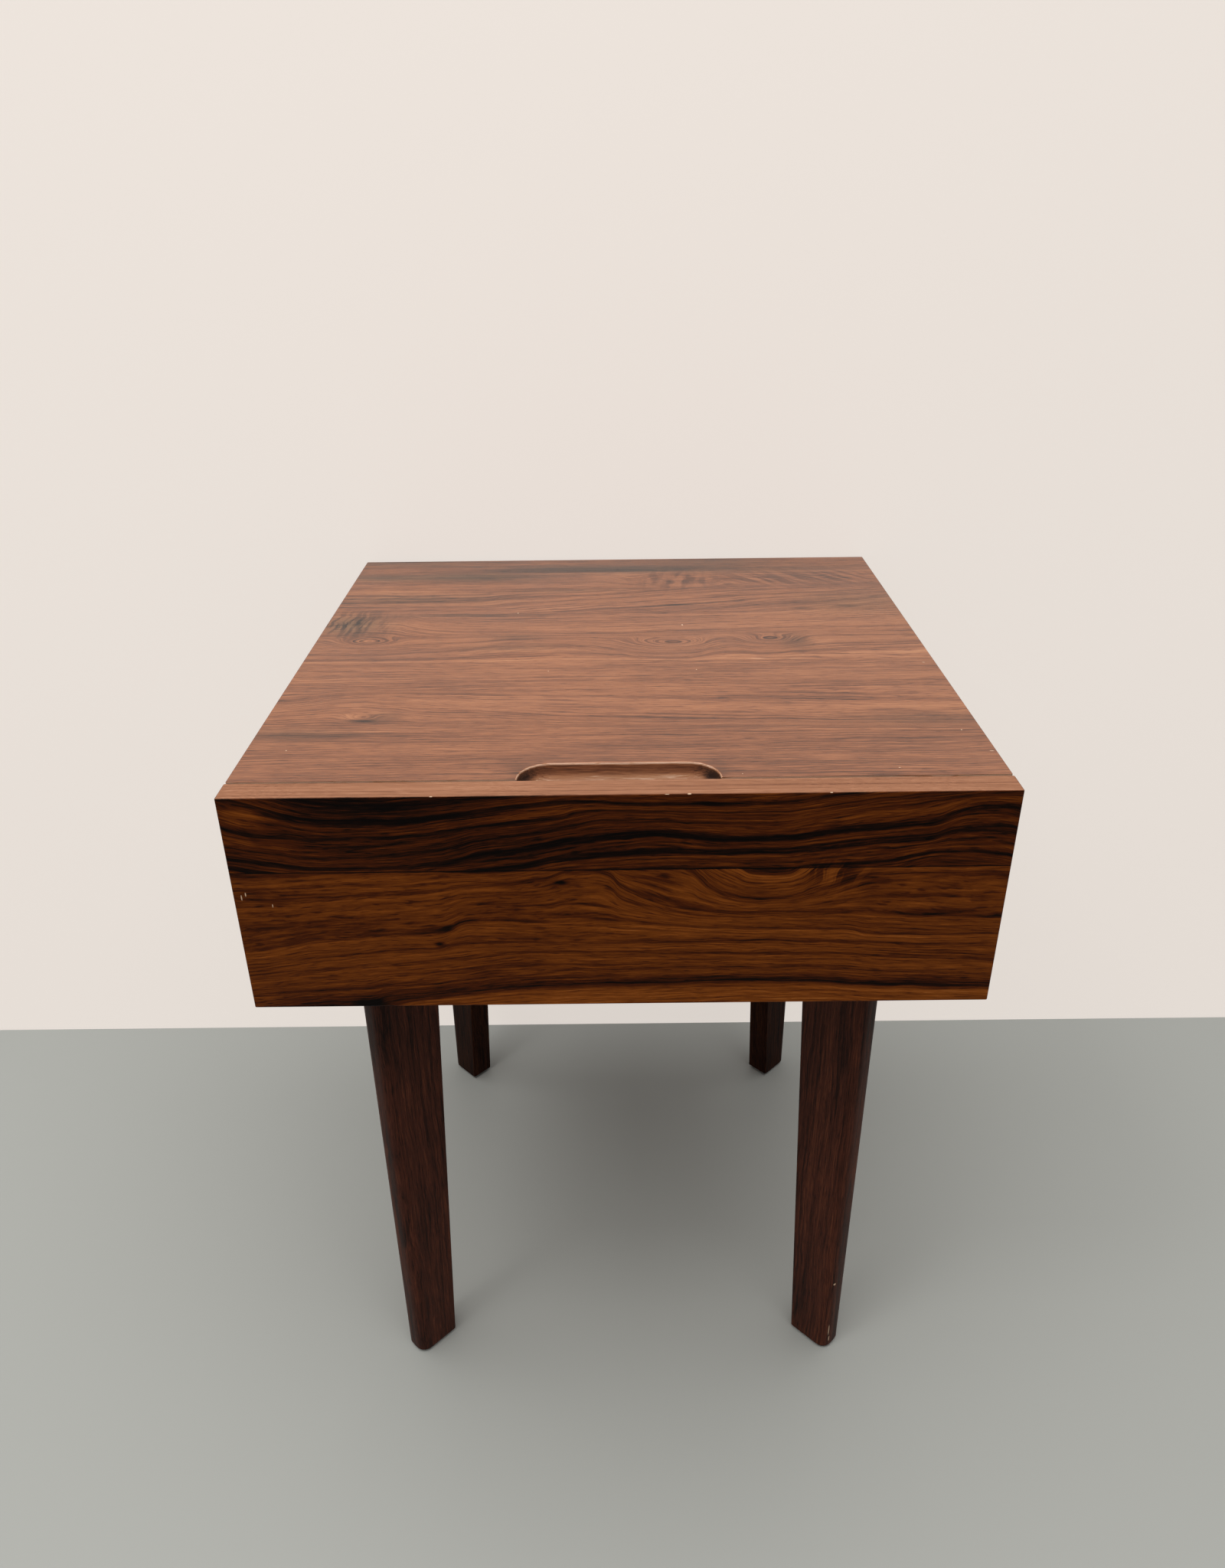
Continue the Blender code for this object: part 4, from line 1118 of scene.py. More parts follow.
@dataclass(frozen=True)
class PaleWood:
    """Clear lacquered maple, sanded fine: pale and even, with faint lines and a low sheen.

    Attributes:
        name: The material's name.
        pale: The lighter wood.
        middle: The usual wood.
        deep: The growth lines.
        layers: Growth lines, fibres (drawn 0.8 mm wide, so that they show) and broad clouds.
        fibre_share: How much the fibres count beside the growth lines.
        cloud_share: How much the clouds count.
        spread: The sums that give the deepest and the palest wood.
    """

    name: str = "lacquered_maple"
    pale: str = "d8b988"
    middle: str = "cba877"
    deep: str = "b98f5e"
    layers: tuple[Layer, ...] = (Layer((210, 9, 30), 5.0, 0.6), Layer((18, 0.8, 0.8), 2.0, 0.6),
                                 Layer((120, 60, 60), 2.0, 0.6))
    fibre_share: float = 0.45
    cloud_share: float = 0.5
    spread: tuple[float, float] = (0.7, 1.25)

    def build(self) -> bpy.types.Material:
        """Make the material.

        Returns:
            The finished maple.
        """
        material, tree = new_material(self.name)
        grain = add_node(tree, "ShaderNodeAttribute", {"attribute_name": GRAIN}).outputs["Vector"]
        line, fibre, cloud = (layer.noise(tree, grain) for layer in self.layers)
        total = add_node(tree, MATH, MULTIPLY_ADD, {0: fibre, 1: self.fibre_share, 2: line})
        total = add_node(tree, MATH, MULTIPLY_ADD, {0: cloud, 1: self.cloud_share, 2: total})
        low, high = self.spread
        share = add_node(tree, MAP_RANGE, inputs={"Value": total, "From Min": low, "From Max": high})
        ramp = add_node(tree, RAMP, inputs={"Fac": share})
        set_stops(ramp, [(0.0, linear(self.deep)), (0.5, linear(self.middle)), (1.0, linear(self.pale))])
        bump = add_node(tree, BUMP, inputs={"Strength": 0.2, "Distance": 0.3 * MM, "Height": fibre})
        add_surface(tree, {"Base Color": ramp, "Roughness": 0.48, "IOR": WOOD_IOR, "Normal": bump})
        return material


@dataclass(frozen=True)
class Metal:
    """A plated or blackened metal.

    Attributes:
        name: The material's name.
        colour: Its usual colour.
        worn: Its colour where the plating is thin.
        roughness: Of the plain surface.
        grit: Size of its mottling, mm.
    """

    name: str
    colour: str
    worn: str
    roughness: float
    grit: float = 4.0

    def build(self) -> bpy.types.Material:
        """Make the material.

        Returns:
            The finished metal.
        """
        material, tree = new_material(self.name)
        place = add_node(tree, "ShaderNodeTexCoord").outputs["Object"]
        mottle = add_node(tree, NOISE, inputs={
            "Vector": place, "Scale": 1 / (self.grit * MM), "Detail": 4.0, "Roughness": 0.65})
        drawn = add_node(tree, VECTOR_MATH, MULTIPLY, {0: place, 1: DRAW_LINES})
        draw_lines = add_node(tree, NOISE, inputs={"Vector": drawn, "Scale": 1.0, "Detail": 2.0})
        ramp = add_node(tree, RAMP, inputs={"Fac": mottle})
        set_stops(ramp, [(0.35, linear(self.worn)), (0.65, linear(self.colour))])
        rough = add_node(tree, MATH, MULTIPLY_ADD, {0: mottle, 1: 0.25, 2: self.roughness - 0.1})
        bump = add_node(tree, BUMP, inputs={"Strength": 0.15, "Distance": 0.1 * MM, "Height": draw_lines})
        add_surface(tree, {"Base Color": ramp, "Metallic": 1.0, "Roughness": rough, "Normal": bump})
        return material


@dataclass(frozen=True)
class Moulding:
    """A moulded plastic or rubber.

    Attributes:
        name: The material's name.
        colour: Its colour.
        roughness: Of its surface.
        grain: Size of its texture, mm.
        transmission: How clear it is.
        ior: Its refractive index.
    """

    name: str
    colour: str
    roughness: float
    grain: float = 0.5
    transmission: float = 0.0
    ior: float = 1.5

    def build(self) -> bpy.types.Material:
        """Make the material.

        Returns:
            The finished plastic.
        """
        material, tree = new_material(self.name)
        place = add_node(tree, "ShaderNodeTexCoord").outputs["Object"]
        texture = add_node(tree, NOISE, inputs={
            "Vector": place, "Scale": 1 / (self.grain * MM), "Detail": 3.0})
        ramp = add_node(tree, RAMP, inputs={"Fac": texture})
        plain = linear(self.colour)
        shaded = tuple(channel * 0.85 for channel in plain[:3]) + (1.0,)
        set_stops(ramp, [(0.3, shaded), (0.7, plain)])
        bump = add_node(tree, BUMP, inputs={"Strength": 0.2, "Distance": 0.1 * MM, "Height": texture})
        add_surface(tree, {"Base Color": ramp, "Roughness": self.roughness, "IOR": self.ior,
                           "Transmission Weight": self.transmission, "Normal": bump})
        return material


class Finish(Enum):
    """The table's finishes."""

    # Lacquered walnut: warm brown with a soft sheen, so the figure carries the look. The front
    # and the legs face away from the lamps and read almost black brown.
    TOP = TOP_WALNUT
    FRONT = FRONT_WALNUT
    CASE = CASE_WALNUT
    LEG = LEG_WALNUT
    # Rear legs: darker tones, partly painted shade under the table.
    REAR_LEG = SHADED_REAR_LEG_WALNUT
    # Lacquered maple: pale straw, close and quiet beside the walnut.
    MAPLE = PaleWood()
    # Rolled steel with bright zinc: cool grey, mottled, with long soft highlights.
    ZINC = Metal("bright_zinc_plated_steel", "b9bdc2", "989da4", 0.3)
    # Steel with black oxide: near black, with dull highlights on its edges.
    BLACK = Metal("black_oxide_steel", "2b2b2d", "3a3836", 0.42, 2.0)
    # Turned brass: yellow, with bright narrow highlights.
    BRASS = Metal("turned_brass", "c09a52", "9a7839", 0.3, 3.0)
    # Moulded nylon: mid grey and faintly waxy.
    NYLON = Moulding("moulded_grey_nylon", "5b5b5d", 0.55)
    # Moulded clear rubber: milky, as light goes some way in.
    RUBBER = Moulding("clear_rubber", "d8d8d2", 0.45, 1.5, 0.6, 1.45)

    def material(self) -> bpy.types.Material:
        """Give the finish's material, made once.

        Returns:
            The material.
        """
        found = bpy.data.materials.get(self.value.name)
        return found or self.value.build()


# ---------------------------------------------------------------- making pieces

@dataclass(frozen=True)
class Lumber:
    """How a board lies in its log.

    Attributes:
        origin: Where the board's own measure starts, m.
        along: Direction of the grain.
        across: Direction across the grain.
        down: Direction into the wood.
        start: Place along the grain at the origin, mm.
        offset: Place across the grain at the origin, mm.
    """

    origin: Vector
    along: Vector
    across: Vector
    down: Vector
    start: float = 0.0
    offset: float = 0.0

    def mark(self, mesh: bpy.types.Mesh) -> None:
        """Write each point's place in the log to the mesh.

        Args:
            mesh: The board's mesh.
        """
        attribute = mesh.attributes.new(GRAIN, "FLOAT_VECTOR", "POINT")
        places = []
        for vertex in mesh.vertices:
            from_origin = (vertex.co - self.origin) / MM
            places += [from_origin.dot(self.along) + self.start, from_origin.dot(self.across) + self.offset,
                       from_origin.dot(self.down)]
        attribute.data.foreach_set("vector", places)


def finished(name: str, shape: bmesh.types.BMesh, finish: Finish, body: str,
             stands_for: tuple[str, ...] = (), lumber: Lumber | None = None,
             crease: float = 40.0) -> bpy.types.Object:
    """Turn a bmesh to a dressed piece that rides on its body.

    Args:
        name: The piece's name.
        shape: Its shape in place, which is freed.
        finish: Its finish.
        body: The body it rides on.
        stands_for: The nodes it replaces.
        lumber: How it lies in its log, for wood.
        crease: Edges sharper than this stay sharp, degrees.

    Returns:
        The piece.
    """
    for face in shape.faces:
        face.smooth = True
    mesh = bpy.data.meshes.new(name)
    shape.to_mesh(mesh)
    shape.free()
    mesh.set_sharp_from_angle(angle=math.radians(crease))
    piece = bpy.data.objects.new(name, mesh)
    bpy.context.scene.collection.objects.link(piece)
    weigh = piece.modifiers.new("weighted_normals", "WEIGHTED_NORMAL")
    weigh.keep_sharp = True
    bpy.context.view_layer.update()
    settled = bpy.data.meshes.new_from_object(piece.evaluated_get(bpy.context.evaluated_depsgraph_get()))
    piece.modifiers.clear()
    piece.data = settled
    settled.name = name
    bpy.data.meshes.remove(mesh)
    if lumber:
        lumber.mark(settled)
    settled.materials.clear()
    settled.materials.append(finish.material())
    if stands_for:
        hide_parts(*stands_for)
    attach(piece, body)
    LOG.info("%s: %d faces in %s", name, len(settled.polygons), finish.value.name)
    return piece


def eased_copy(node: str, ease: float, segments: int = 3) -> bmesh.types.BMesh:
    """Copy a node's shape, join its faces and ease its square edges.

    Args:
        node: The CAD node.
        ease: Radius of the eased edges, m.
        segments: Faces round each eased edge.

    Returns:
        The shape.
    """
    shape = bmesh.new()
    shape.from_mesh(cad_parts[node].data)
    bmesh.ops.remove_doubles(shape, verts=shape.verts, dist=2e-6)
    bmesh.ops.dissolve_limit(shape, angle_limit=math.radians(0.4), verts=shape.verts, edges=shape.edges)
    bmesh.ops.recalc_face_normals(shape, faces=shape.faces)
    if ease:
        square = [edge for edge in shape.edges if edge.is_manifold and edge.is_convex
                  and math.radians(65) < edge.calc_face_angle(0) < math.radians(115)]
        bmesh.ops.bevel(shape, geom=square, affect="EDGES", offset=ease, offset_type="OFFSET",
                        segments=segments, profile=0.5, material=-1, clamp_overlap=True)
    return shape


@dataclass
class Case:
    """The mitred case: top, sides, bottom and back.

    Attributes:
        ease: Radius of the boards' eased edges, m.
        rim_ease: Radius round the finger pull's rim, m.
    """

    ease: float = 0.0007
    rim_ease: float = 0.0011

    def top_shape(self) -> bmesh.types.BMesh:
        """Shape the top, with the finger pull's rim rounded over by hand.

        Returns:
            The shape.
        """
        low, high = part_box("top_panel")
        shape = eased_copy("top_panel", 0.0)
        rim = [edge for edge in shape.edges if edge.is_manifold and edge.is_convex
               and all(abs(vertex.co.z - high.z) < 1e-5 and abs(vertex.co.x) < 0.08
                       and low.y - 1e-5 < vertex.co.y < low.y + 0.04 for vertex in edge.verts)
               and any(vertex.co.y > low.y + 1e-4 for vertex in edge.verts)]
        bmesh.ops.bevel(shape, geom=rim, affect="EDGES", offset=self.rim_ease, offset_type="OFFSET",
                        segments=3, profile=0.5, material=-1, clamp_overlap=False)
        outline = [edge for edge in shape.edges if edge.is_manifold and edge.is_convex
                   and edge.calc_length() > 0.1 and edge.calc_face_angle(0) > math.radians(40)]
        bmesh.ops.bevel(shape, geom=outline, affect="EDGES", offset=self.ease / 2, offset_type="OFFSET",
                        segments=2, profile=0.5, material=-1, clamp_overlap=True)
        return shape

    def build(self) -> list[bpy.types.Object]:
        """Make the case's pieces.

        Returns:
            The pieces.
        """
        low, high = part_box("top_panel")
        whole_low, whole_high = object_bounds()
        origin = Vector((0, high.y, high.z))
        right, back, up = Vector((1, 0, 0)), Vector((0, 1, 0)), Vector((0, 0, 1))
        made = [finished("case_top", self.top_shape(), Finish.TOP, "case",
                         ("top_panel",), Lumber(origin, right, -back, -up))]
        # The sides carry the top's grain on down, as boards folded over at the mitre do.
        for side, sign in SIDES.items():
            start = sign * high.x / MM
            lumber = Lumber(Vector((sign * high.x, high.y, high.z)), -up * sign, -back, -right * sign,
                            start)
            made.append(finished(f"case_{side}", eased_copy(side + "_side", self.ease), Finish.TOP, "case",
                                 (side + "_side",), lumber))
        bottom_low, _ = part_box("bottom_panel")
        made.append(finished("case_bottom", eased_copy("bottom_panel", self.ease), Finish.CASE, "case",
                             ("bottom_panel",),
                             Lumber(Vector((0, high.y, bottom_low.z)), right, -back, up)))
        made.append(finished("case_back", eased_copy("back_panel", self.ease), Finish.CASE, "case",
                             ("back_panel",), Lumber(origin, right, -up, -back, 900.0, 130.0)))
        return made


@dataclass
class Legs:
    """Four tapered legs.

    Attributes:
        ease: Radius of the square edges, m.
    """

    ease: float = 0.0006

    def build(self) -> list[bpy.types.Object]:
        """Make the legs.

        Returns:
            The pieces.
        """
        made = []
        starts = {"front_left": 0.0, "front_right": 1300.0, "rear_left": 2900.0, "rear_right": 4100.0}
        for place, start in starts.items():
            node = "leg_" + place
            low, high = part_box(node)
            end, side = place.split("_")
            outward = Vector((SIDES[side], ENDS[end], 0)).normalized()
            corner = Vector((high.x if SIDES[side] > 0 else low.x, high.y if ENDS[end] > 0 else low.y,
                             high.z))
            lumber = Lumber(corner, Vector((0, 0, -1)), -outward, outward.cross(Vector((0, 0, 1))), start,
                            start / 9)
            # The rear legs take darker tones, partly painted shade for where they stand under the table.
            made.append(finished("walnut_" + node, eased_copy(node, self.ease),
                                 Finish.LEG if end == "front" else Finish.REAR_LEG, "case",
                                 (node,), lumber, 35.0))
        return made


@dataclass
class Drawer:
    """The walnut front and the maple box behind it.

    Attributes:
        front_ease: Radius of the front's edges, m.
        box_ease: Radius of the box's edges, m.
    """

    front_ease: float = 0.0
    box_ease: float = 0.0006

    def build(self) -> list[bpy.types.Object]:
        """Make the drawer's pieces.

        Returns:
            The pieces.
        """
        right, back, up = Vector((1, 0, 0)), Vector((0, 1, 0)), Vector((0, 0, 1))
        low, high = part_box("drawer_front")
        made = [finished("walnut_drawer_front", eased_copy("drawer_front", self.front_ease), Finish.FRONT,
                         "drawer",
                         ("drawer_front",), Lumber(Vector((0, low.y, high.z)), right, -up,
                                                                   back))]
        boards = {
            "drawer_box_front": (right, -up, back, 0.0), "drawer_box_back": (right, -up, back, 700.0),
            "drawer_box_left": (back, -up, right, 1500.0), "drawer_box_right": (back, -up, -right, 2300.0),
            "drawer_bottom": (right, back, -up, 3100.0),
        }
        for node, (along, across, down, start) in boards.items():
            low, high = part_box(node)
            lumber = Lumber((low + high) / 2, along, across, down, start, start / 7)
            made.append(finished("maple_" + node, eased_copy(node, self.box_ease), Finish.MAPLE, "drawer",
                                 (node,), lumber))
        return made


class Drive(Enum):
    """The recess in a fastener's head."""

    HEX = "hex"
    CROSS = "cross"


def turned(profile: list[tuple[float, float]], steps: int = 32) -> bmesh.types.BMesh:
    """Turn a profile round the Z axis.

    Args:
        profile: Radius and height, in order, m.
        steps: Faces round the axis.

    Returns:
        The turned shape.
    """
    shape = bmesh.new()
    points = [shape.verts.new((radius, 0, height)) for radius, height in profile]
    edges = [shape.edges.new(pair) for pair in zip(points, points[1:])]
    bmesh.ops.spin(shape, geom=points + edges, cent=(0, 0, 0), axis=(0, 0, 1), dvec=(0, 0, 0),
                   angle=2 * math.pi, steps=steps, use_merge=True, use_duplicate=False)
    bmesh.ops.remove_doubles(shape, verts=shape.verts, dist=1e-7)
    bmesh.ops.recalc_face_normals(shape, faces=shape.faces)
    return shape


@dataclass(frozen=True)
class Fastener:
    """A bolt or screw; its head's face is at height 0 and its shank runs down.

    Attributes:
        head: Head radius, m.
        head_height: Height of the head, m.
        shank: Shank radius, m.
        drive: Its recess.
        drive_reach: From the middle of the recess to its corners, m.
        drive_depth: Depth of the recess, m.
        countersunk: Whether the head is a flat cone, not a dome.
        mouth_share: Radius of the flat round the recess, as a share of the recess.
        crown_share: Radius of a dome's flat middle, as a share of the head.
        arm_share: Half width of a cross's arms, as a share of the recess.
        floor_share: How far the recess narrows to its floor.
    """

    head: float
    head_height: float
    shank: float
    drive: Drive
    drive_reach: float
    drive_depth: float
    countersunk: bool = False
    mouth_share: float = 1.2
    crown_share: float = 0.55
    arm_share: float = 0.3
    floor_share: float = 0.75

    def recess_outline(self, shape: bmesh.types.BMesh) -> list[bmesh.types.BMEdge]:
        """Draw the recess's outline in the head's face.

        Args:
            shape: The fastener so far.

        Returns:
            The outline's edges.
        """
        corners = 6 if self.drive is Drive.HEX else 12
        ring = bmesh.ops.create_circle(shape, segments=corners, radius=self.drive_reach)["verts"]
        if self.drive is Drive.CROSS:
            arm = self.drive_reach * self.arm_share
            quarter = [Vector((-arm, self.drive_reach, 0)), Vector((arm, self.drive_reach, 0)),
                       Vector((arm, arm, 0))]
            ordered = sorted(ring, key=lambda vertex: -math.atan2(vertex.co.y, vertex.co.x))
            for number, vertex in enumerate(ordered):
                turn = Matrix.Rotation(-math.pi / 2 * (number // 3), 3, "Z")
                vertex.co = turn @ quarter[number % 3]
        return list({edge for vertex in ring for edge in vertex.link_edges})

    def shape(self, length: float) -> bmesh.types.BMesh:
        """Make the fastener.

        Args:
            length: From the head's face to the tip, m.

        Returns:
            The shape.
        """
        mouth = self.drive_reach * self.mouth_share
        if self.countersunk:
            head = [(mouth, 0.0), (self.head - 0.0001, 0.0), (self.head, -0.0001),
                    (self.shank, -self.head_height)]
        else:
            flat, fall = self.head * self.crown_share, self.head * (1 - self.crown_share)
            angles = [math.radians(angle) for angle in (0, 22, 45, 67, 90)]
            head = [(mouth, 0.0)] if mouth < flat - 1e-5 else []
            head += [(flat + fall * math.sin(angle), -self.head_height * 0.92 * (1 - math.cos(angle)))
                     for angle in angles]
            head += [(self.head, -self.head_height), (self.shank, -self.head_height)]
        profile = head + [(self.shank, self.shank * 0.8 - length), (self.shank * 0.4, -length),
                          (0.0, -length)]
        shape = turned(profile)
        rim = [edge for edge in shape.edges if edge.is_boundary]
        outline = self.recess_outline(shape)
        bmesh.ops.triangle_fill(shape, use_beauty=True, use_dissolve=False, edges=rim + outline,
                                normal=(0, 0, 1))
        sunk = bmesh.ops.extrude_edge_only(shape, edges=outline)["geom"]
        floor = [item for item in sunk if isinstance(item, bmesh.types.BMVert)]
        bmesh.ops.scale(shape, vec=(self.floor_share, self.floor_share, 1), verts=floor)
        bmesh.ops.translate(shape, vec=(0, 0, -self.drive_depth), verts=floor)
        bottom = [item for item in sunk if isinstance(item, bmesh.types.BMEdge)
                  and all(vertex in floor for vertex in item.verts)]
        bmesh.ops.triangle_fill(shape, use_beauty=True, use_dissolve=False, edges=bottom, normal=(0, 0, 1))
        bmesh.ops.recalc_face_normals(shape, faces=shape.faces)
        return shape


LEG_BOLT = Fastener(0.007, 0.0033, 0.003, Drive.HEX, 0.0023, 0.0022)
SLIDE_SCREW = Fastener(0.0033, 0.0022, 0.00175, Drive.CROSS, 0.0019, 0.0013, True)
FRONT_SCREW = Fastener(0.0045, 0.002, 0.002, Drive.CROSS, 0.0022, 0.0014)


@dataclass
class Fasteners:
    """Bolts down into the legs, and the screws of the slides and of the drawer front."""

    def put(self, node: str, kind: Fastener, facing: Vector, finish: Finish, body: str) -> None:
        """Make one fastener where its node is.

        Args:
            node: The CAD node it stands for.
            kind: Which fastener.
            facing: The way its head faces.
            finish: Its finish.
            body: The body it rides on.
        """
        low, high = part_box(node)
        middle, half = (low + high) / 2, (high - low) / 2
        length = 2 * abs(half.dot(facing))
        shape = kind.shape(length)
        turn = Vector((0, 0, 1)).rotation_difference(facing).to_matrix().to_4x4()
        bmesh.ops.transform(shape, matrix=Matrix.Translation(middle + facing * length / 2) @ turn,
                            verts=shape.verts)
        finished(node + "_machined", shape, finish, body, (node,))

    def build(self) -> None:
        """Make all the fasteners."""
        for end in ENDS:
            for side, sign in SIDES.items():
                for row in ("outer", "inner"):
                    self.put(f"leg_bolt_{end}_{side}_{row}", LEG_BOLT, Vector((0, 0, 1)), Finish.ZINC,
                             "case")
                self.put(f"{side}_cabinet_screw_{end}", SLIDE_SCREW, Vector((-sign, 0, 0)), Finish.ZINC,
                         "case")
                self.put(f"{side}_drawer_screw_{end}", SLIDE_SCREW, Vector((sign, 0, 0)), Finish.ZINC,
                         "drawer")
        for level in ("upper", "lower"):
            for side in SIDES:
                self.put(f"front_screw_{level}_{side}", FRONT_SCREW, Vector((0, 1, 0)), Finish.BLACK,
                         "drawer")


@dataclass
class Slides:
    """Two ball bearing slides, each of three steel members and two ball cages.

    Attributes:
        steel: Thickness of the members, m.
        cage_steel: Thickness of the cages, m.
        bend: Outer radius of the bends, m.
        screw_clearance: Radius of the holes round the screw heads, m.
        slot_radius: Half width of the adjusting slots, m.
        slot_reach: How far a slot's ends lie from its middle, m.
        ball: Radius of a ball, m.
        ball_room: From a cage's outermost height in to the middle of its balls, m.
        ball_pitch: From ball to ball, m.
        outer_ball_in: From the outer cage's web to the middle of its balls, m.
        inner_ball_in: From the inner cage's web to the middle of its balls, m.
    """

    steel: float = 0.0012
    cage_steel: float = 0.0005
    bend: float = 0.0016
    screw_clearance: float = 0.0038
    slot_radius: float = 0.0024
    slot_reach: float = 0.006
    ball: float = 0.00155
    ball_room: float = 0.0016
    ball_pitch: float = 0.0104
    outer_ball_in: float = 0.0042
    inner_ball_in: float = 0.00335

    def hole(self, shape: bmesh.types.BMesh, place: Vector, radius: float,
             reach: float) -> list[bmesh.types.BMEdge]:
        """Draw a round hole or a slot along Y in the web.

        Args:
            shape: The member so far.
            place: The hole's middle.
            radius: Its half width, m.
            reach: How far its ends are drawn out, m.

        Returns:
            Its edges.
        """
        turn = Matrix.Translation(place) @ Matrix.Rotation(math.pi / 2, 4, "Y")
        ring = bmesh.ops.create_circle(shape, segments=20, radius=radius, matrix=turn)["verts"]
        for vertex in ring:
            vertex.co.y += math.copysign(reach, vertex.co.y - place.y) if reach else 0.0
        return list({edge for vertex in ring for edge in vertex.link_edges})

    def channel(self, low: Vector, high: Vector, web_out: bool, thickness: float,
                holes: list[tuple[float, float, float]], bend: float) -> bmesh.types.BMesh:
        """Fold one U channel with holes in its web.

        Args:
            low: Its lowest corner.
            high: Its highest corner.
            web_out: Whether its web is on the case's side.
            thickness: Of its sheet, m.
            holes: Place along Y from its middle, radius and reach of each hole, m.
            bend: Outer radius of its bends, m.

        Returns:
            The shape.
        """
        side = 1 if low.x > 0 else -1
        outer, inner = (high.x, low.x) if side > 0 else (low.x, high.x)
        web, tip = (outer, inner) if web_out else (inner, outer)
        middle = (low + high) / 2
        shape = bmesh.new()
        corners = [shape.verts.new((web, y, z)) for y, z in
                   ((low.y, low.z), (high.y, low.z), (high.y, high.z), (low.y, high.z))]
        border = [shape.edges.new(pair) for pair in zip(corners, corners[1:] + corners[:1])]
        edges = list(border)
        for along, radius, reach in holes:
            edges += self.hole(shape, Vector((web, middle.y + along, middle.z)), radius, reach)
        bmesh.ops.triangle_fill(shape, use_beauty=True, use_dissolve=False, edges=edges,
                                normal=(side, 0, 0))
        folds = [border[0], border[2]]
        flanges = bmesh.ops.extrude_edge_only(shape, edges=folds)["geom"]
        tips = [item for item in flanges if isinstance(item, bmesh.types.BMVert)]
        bmesh.ops.translate(shape, vec=(tip - web, 0, 0), verts=tips)
        bmesh.ops.bevel(shape, geom=folds, affect="EDGES", offset=bend, offset_type="OFFSET", segments=3,
                        profile=0.5, material=-1, clamp_overlap=True)
        bmesh.ops.recalc_face_normals(shape, faces=shape.faces)
        flat = max(shape.faces, key=lambda face: abs(face.normal.x) * face.calc_area())
        if flat.normal.x * (web - tip) < 0:
            bmesh.ops.reverse_faces(shape, faces=shape.faces)
        bmesh.ops.solidify(shape, geom=shape.faces[:], thickness=thickness)
        bmesh.ops.recalc_face_normals(shape, faces=shape.faces)
        return shape

    def cage(self, node: str, ball_in: float) -> bmesh.types.BMesh:
        """Fold one ball cage and set its balls.

        Args:
            node: The CAD node that gives its size.
            ball_in: From the cage's web to the middle of its balls, m.

        Returns:
            The shape.
        """
        low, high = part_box(node)
        lift = Vector((0, 0, self.ball_room - self.cage_steel / 2))
        windows = [(along, 0.0035, 0.008) for along in (-0.044, 0.0, 0.044)]
        shape = self.channel(low + lift, high - lift, True, self.cage_steel, windows, 0.0006)
        ball_x = high.x - ball_in if low.x > 0 else low.x + ball_in
        middle = (low.y + high.y) / 2
        count = int((high.y - low.y) / self.ball_pitch)
        for row in (low.z + self.ball_room, high.z - self.ball_room):
            for number in range(count):
                along = middle + (number - (count - 1) / 2) * self.ball_pitch
                bmesh.ops.create_icosphere(shape, subdivisions=2, radius=self.ball,
                                           matrix=Matrix.Translation((ball_x, along, row)))
        return shape

    def build(self) -> None:
        """Make both slides."""
        for side in SIDES:
            label = side + "_slide_"
            low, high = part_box(label + "cabinet_member")
            middle = (low.y + high.y) / 2
            screws = [(sum(corner.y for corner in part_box(f"{side}_cabinet_screw_{end}")) / 2 - middle,
                       self.screw_clearance, 0.0) for end in ENDS]
            slots = [(along, self.slot_radius, self.slot_reach) for along in (-0.1, -0.02, 0.06, 0.12)]
            short_slots = [(along, self.slot_radius, self.slot_reach / 3) for along in (-0.185, -0.06,
                                                                                        0.185)]
            members = {
                "cabinet_member": ("case", True, screws + slots + short_slots[::2]),
                "middle_member": (side + "_middle_member", True, slots[::3] + short_slots[1:]),
                "drawer_member": ("drawer", False, screws + slots[:3] + short_slots[::2]),
            }
            for member, (body, web_out, holes) in members.items():
                node = label + member
                low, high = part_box(node)
                shape = self.channel(low, high, web_out, self.steel, holes, self.bend)
                finished(node + "_folded", shape, Finish.ZINC, body, (node,), crease=30.0)
            for cage, ball_in in (("outer_cage", self.outer_ball_in), ("inner_cage", self.inner_ball_in)):
                finished(label + cage + "_with_balls", self.cage(label + cage, ball_in), Finish.ZINC,
                         f"{side}_{cage}", (label + cage,), crease=30.0)


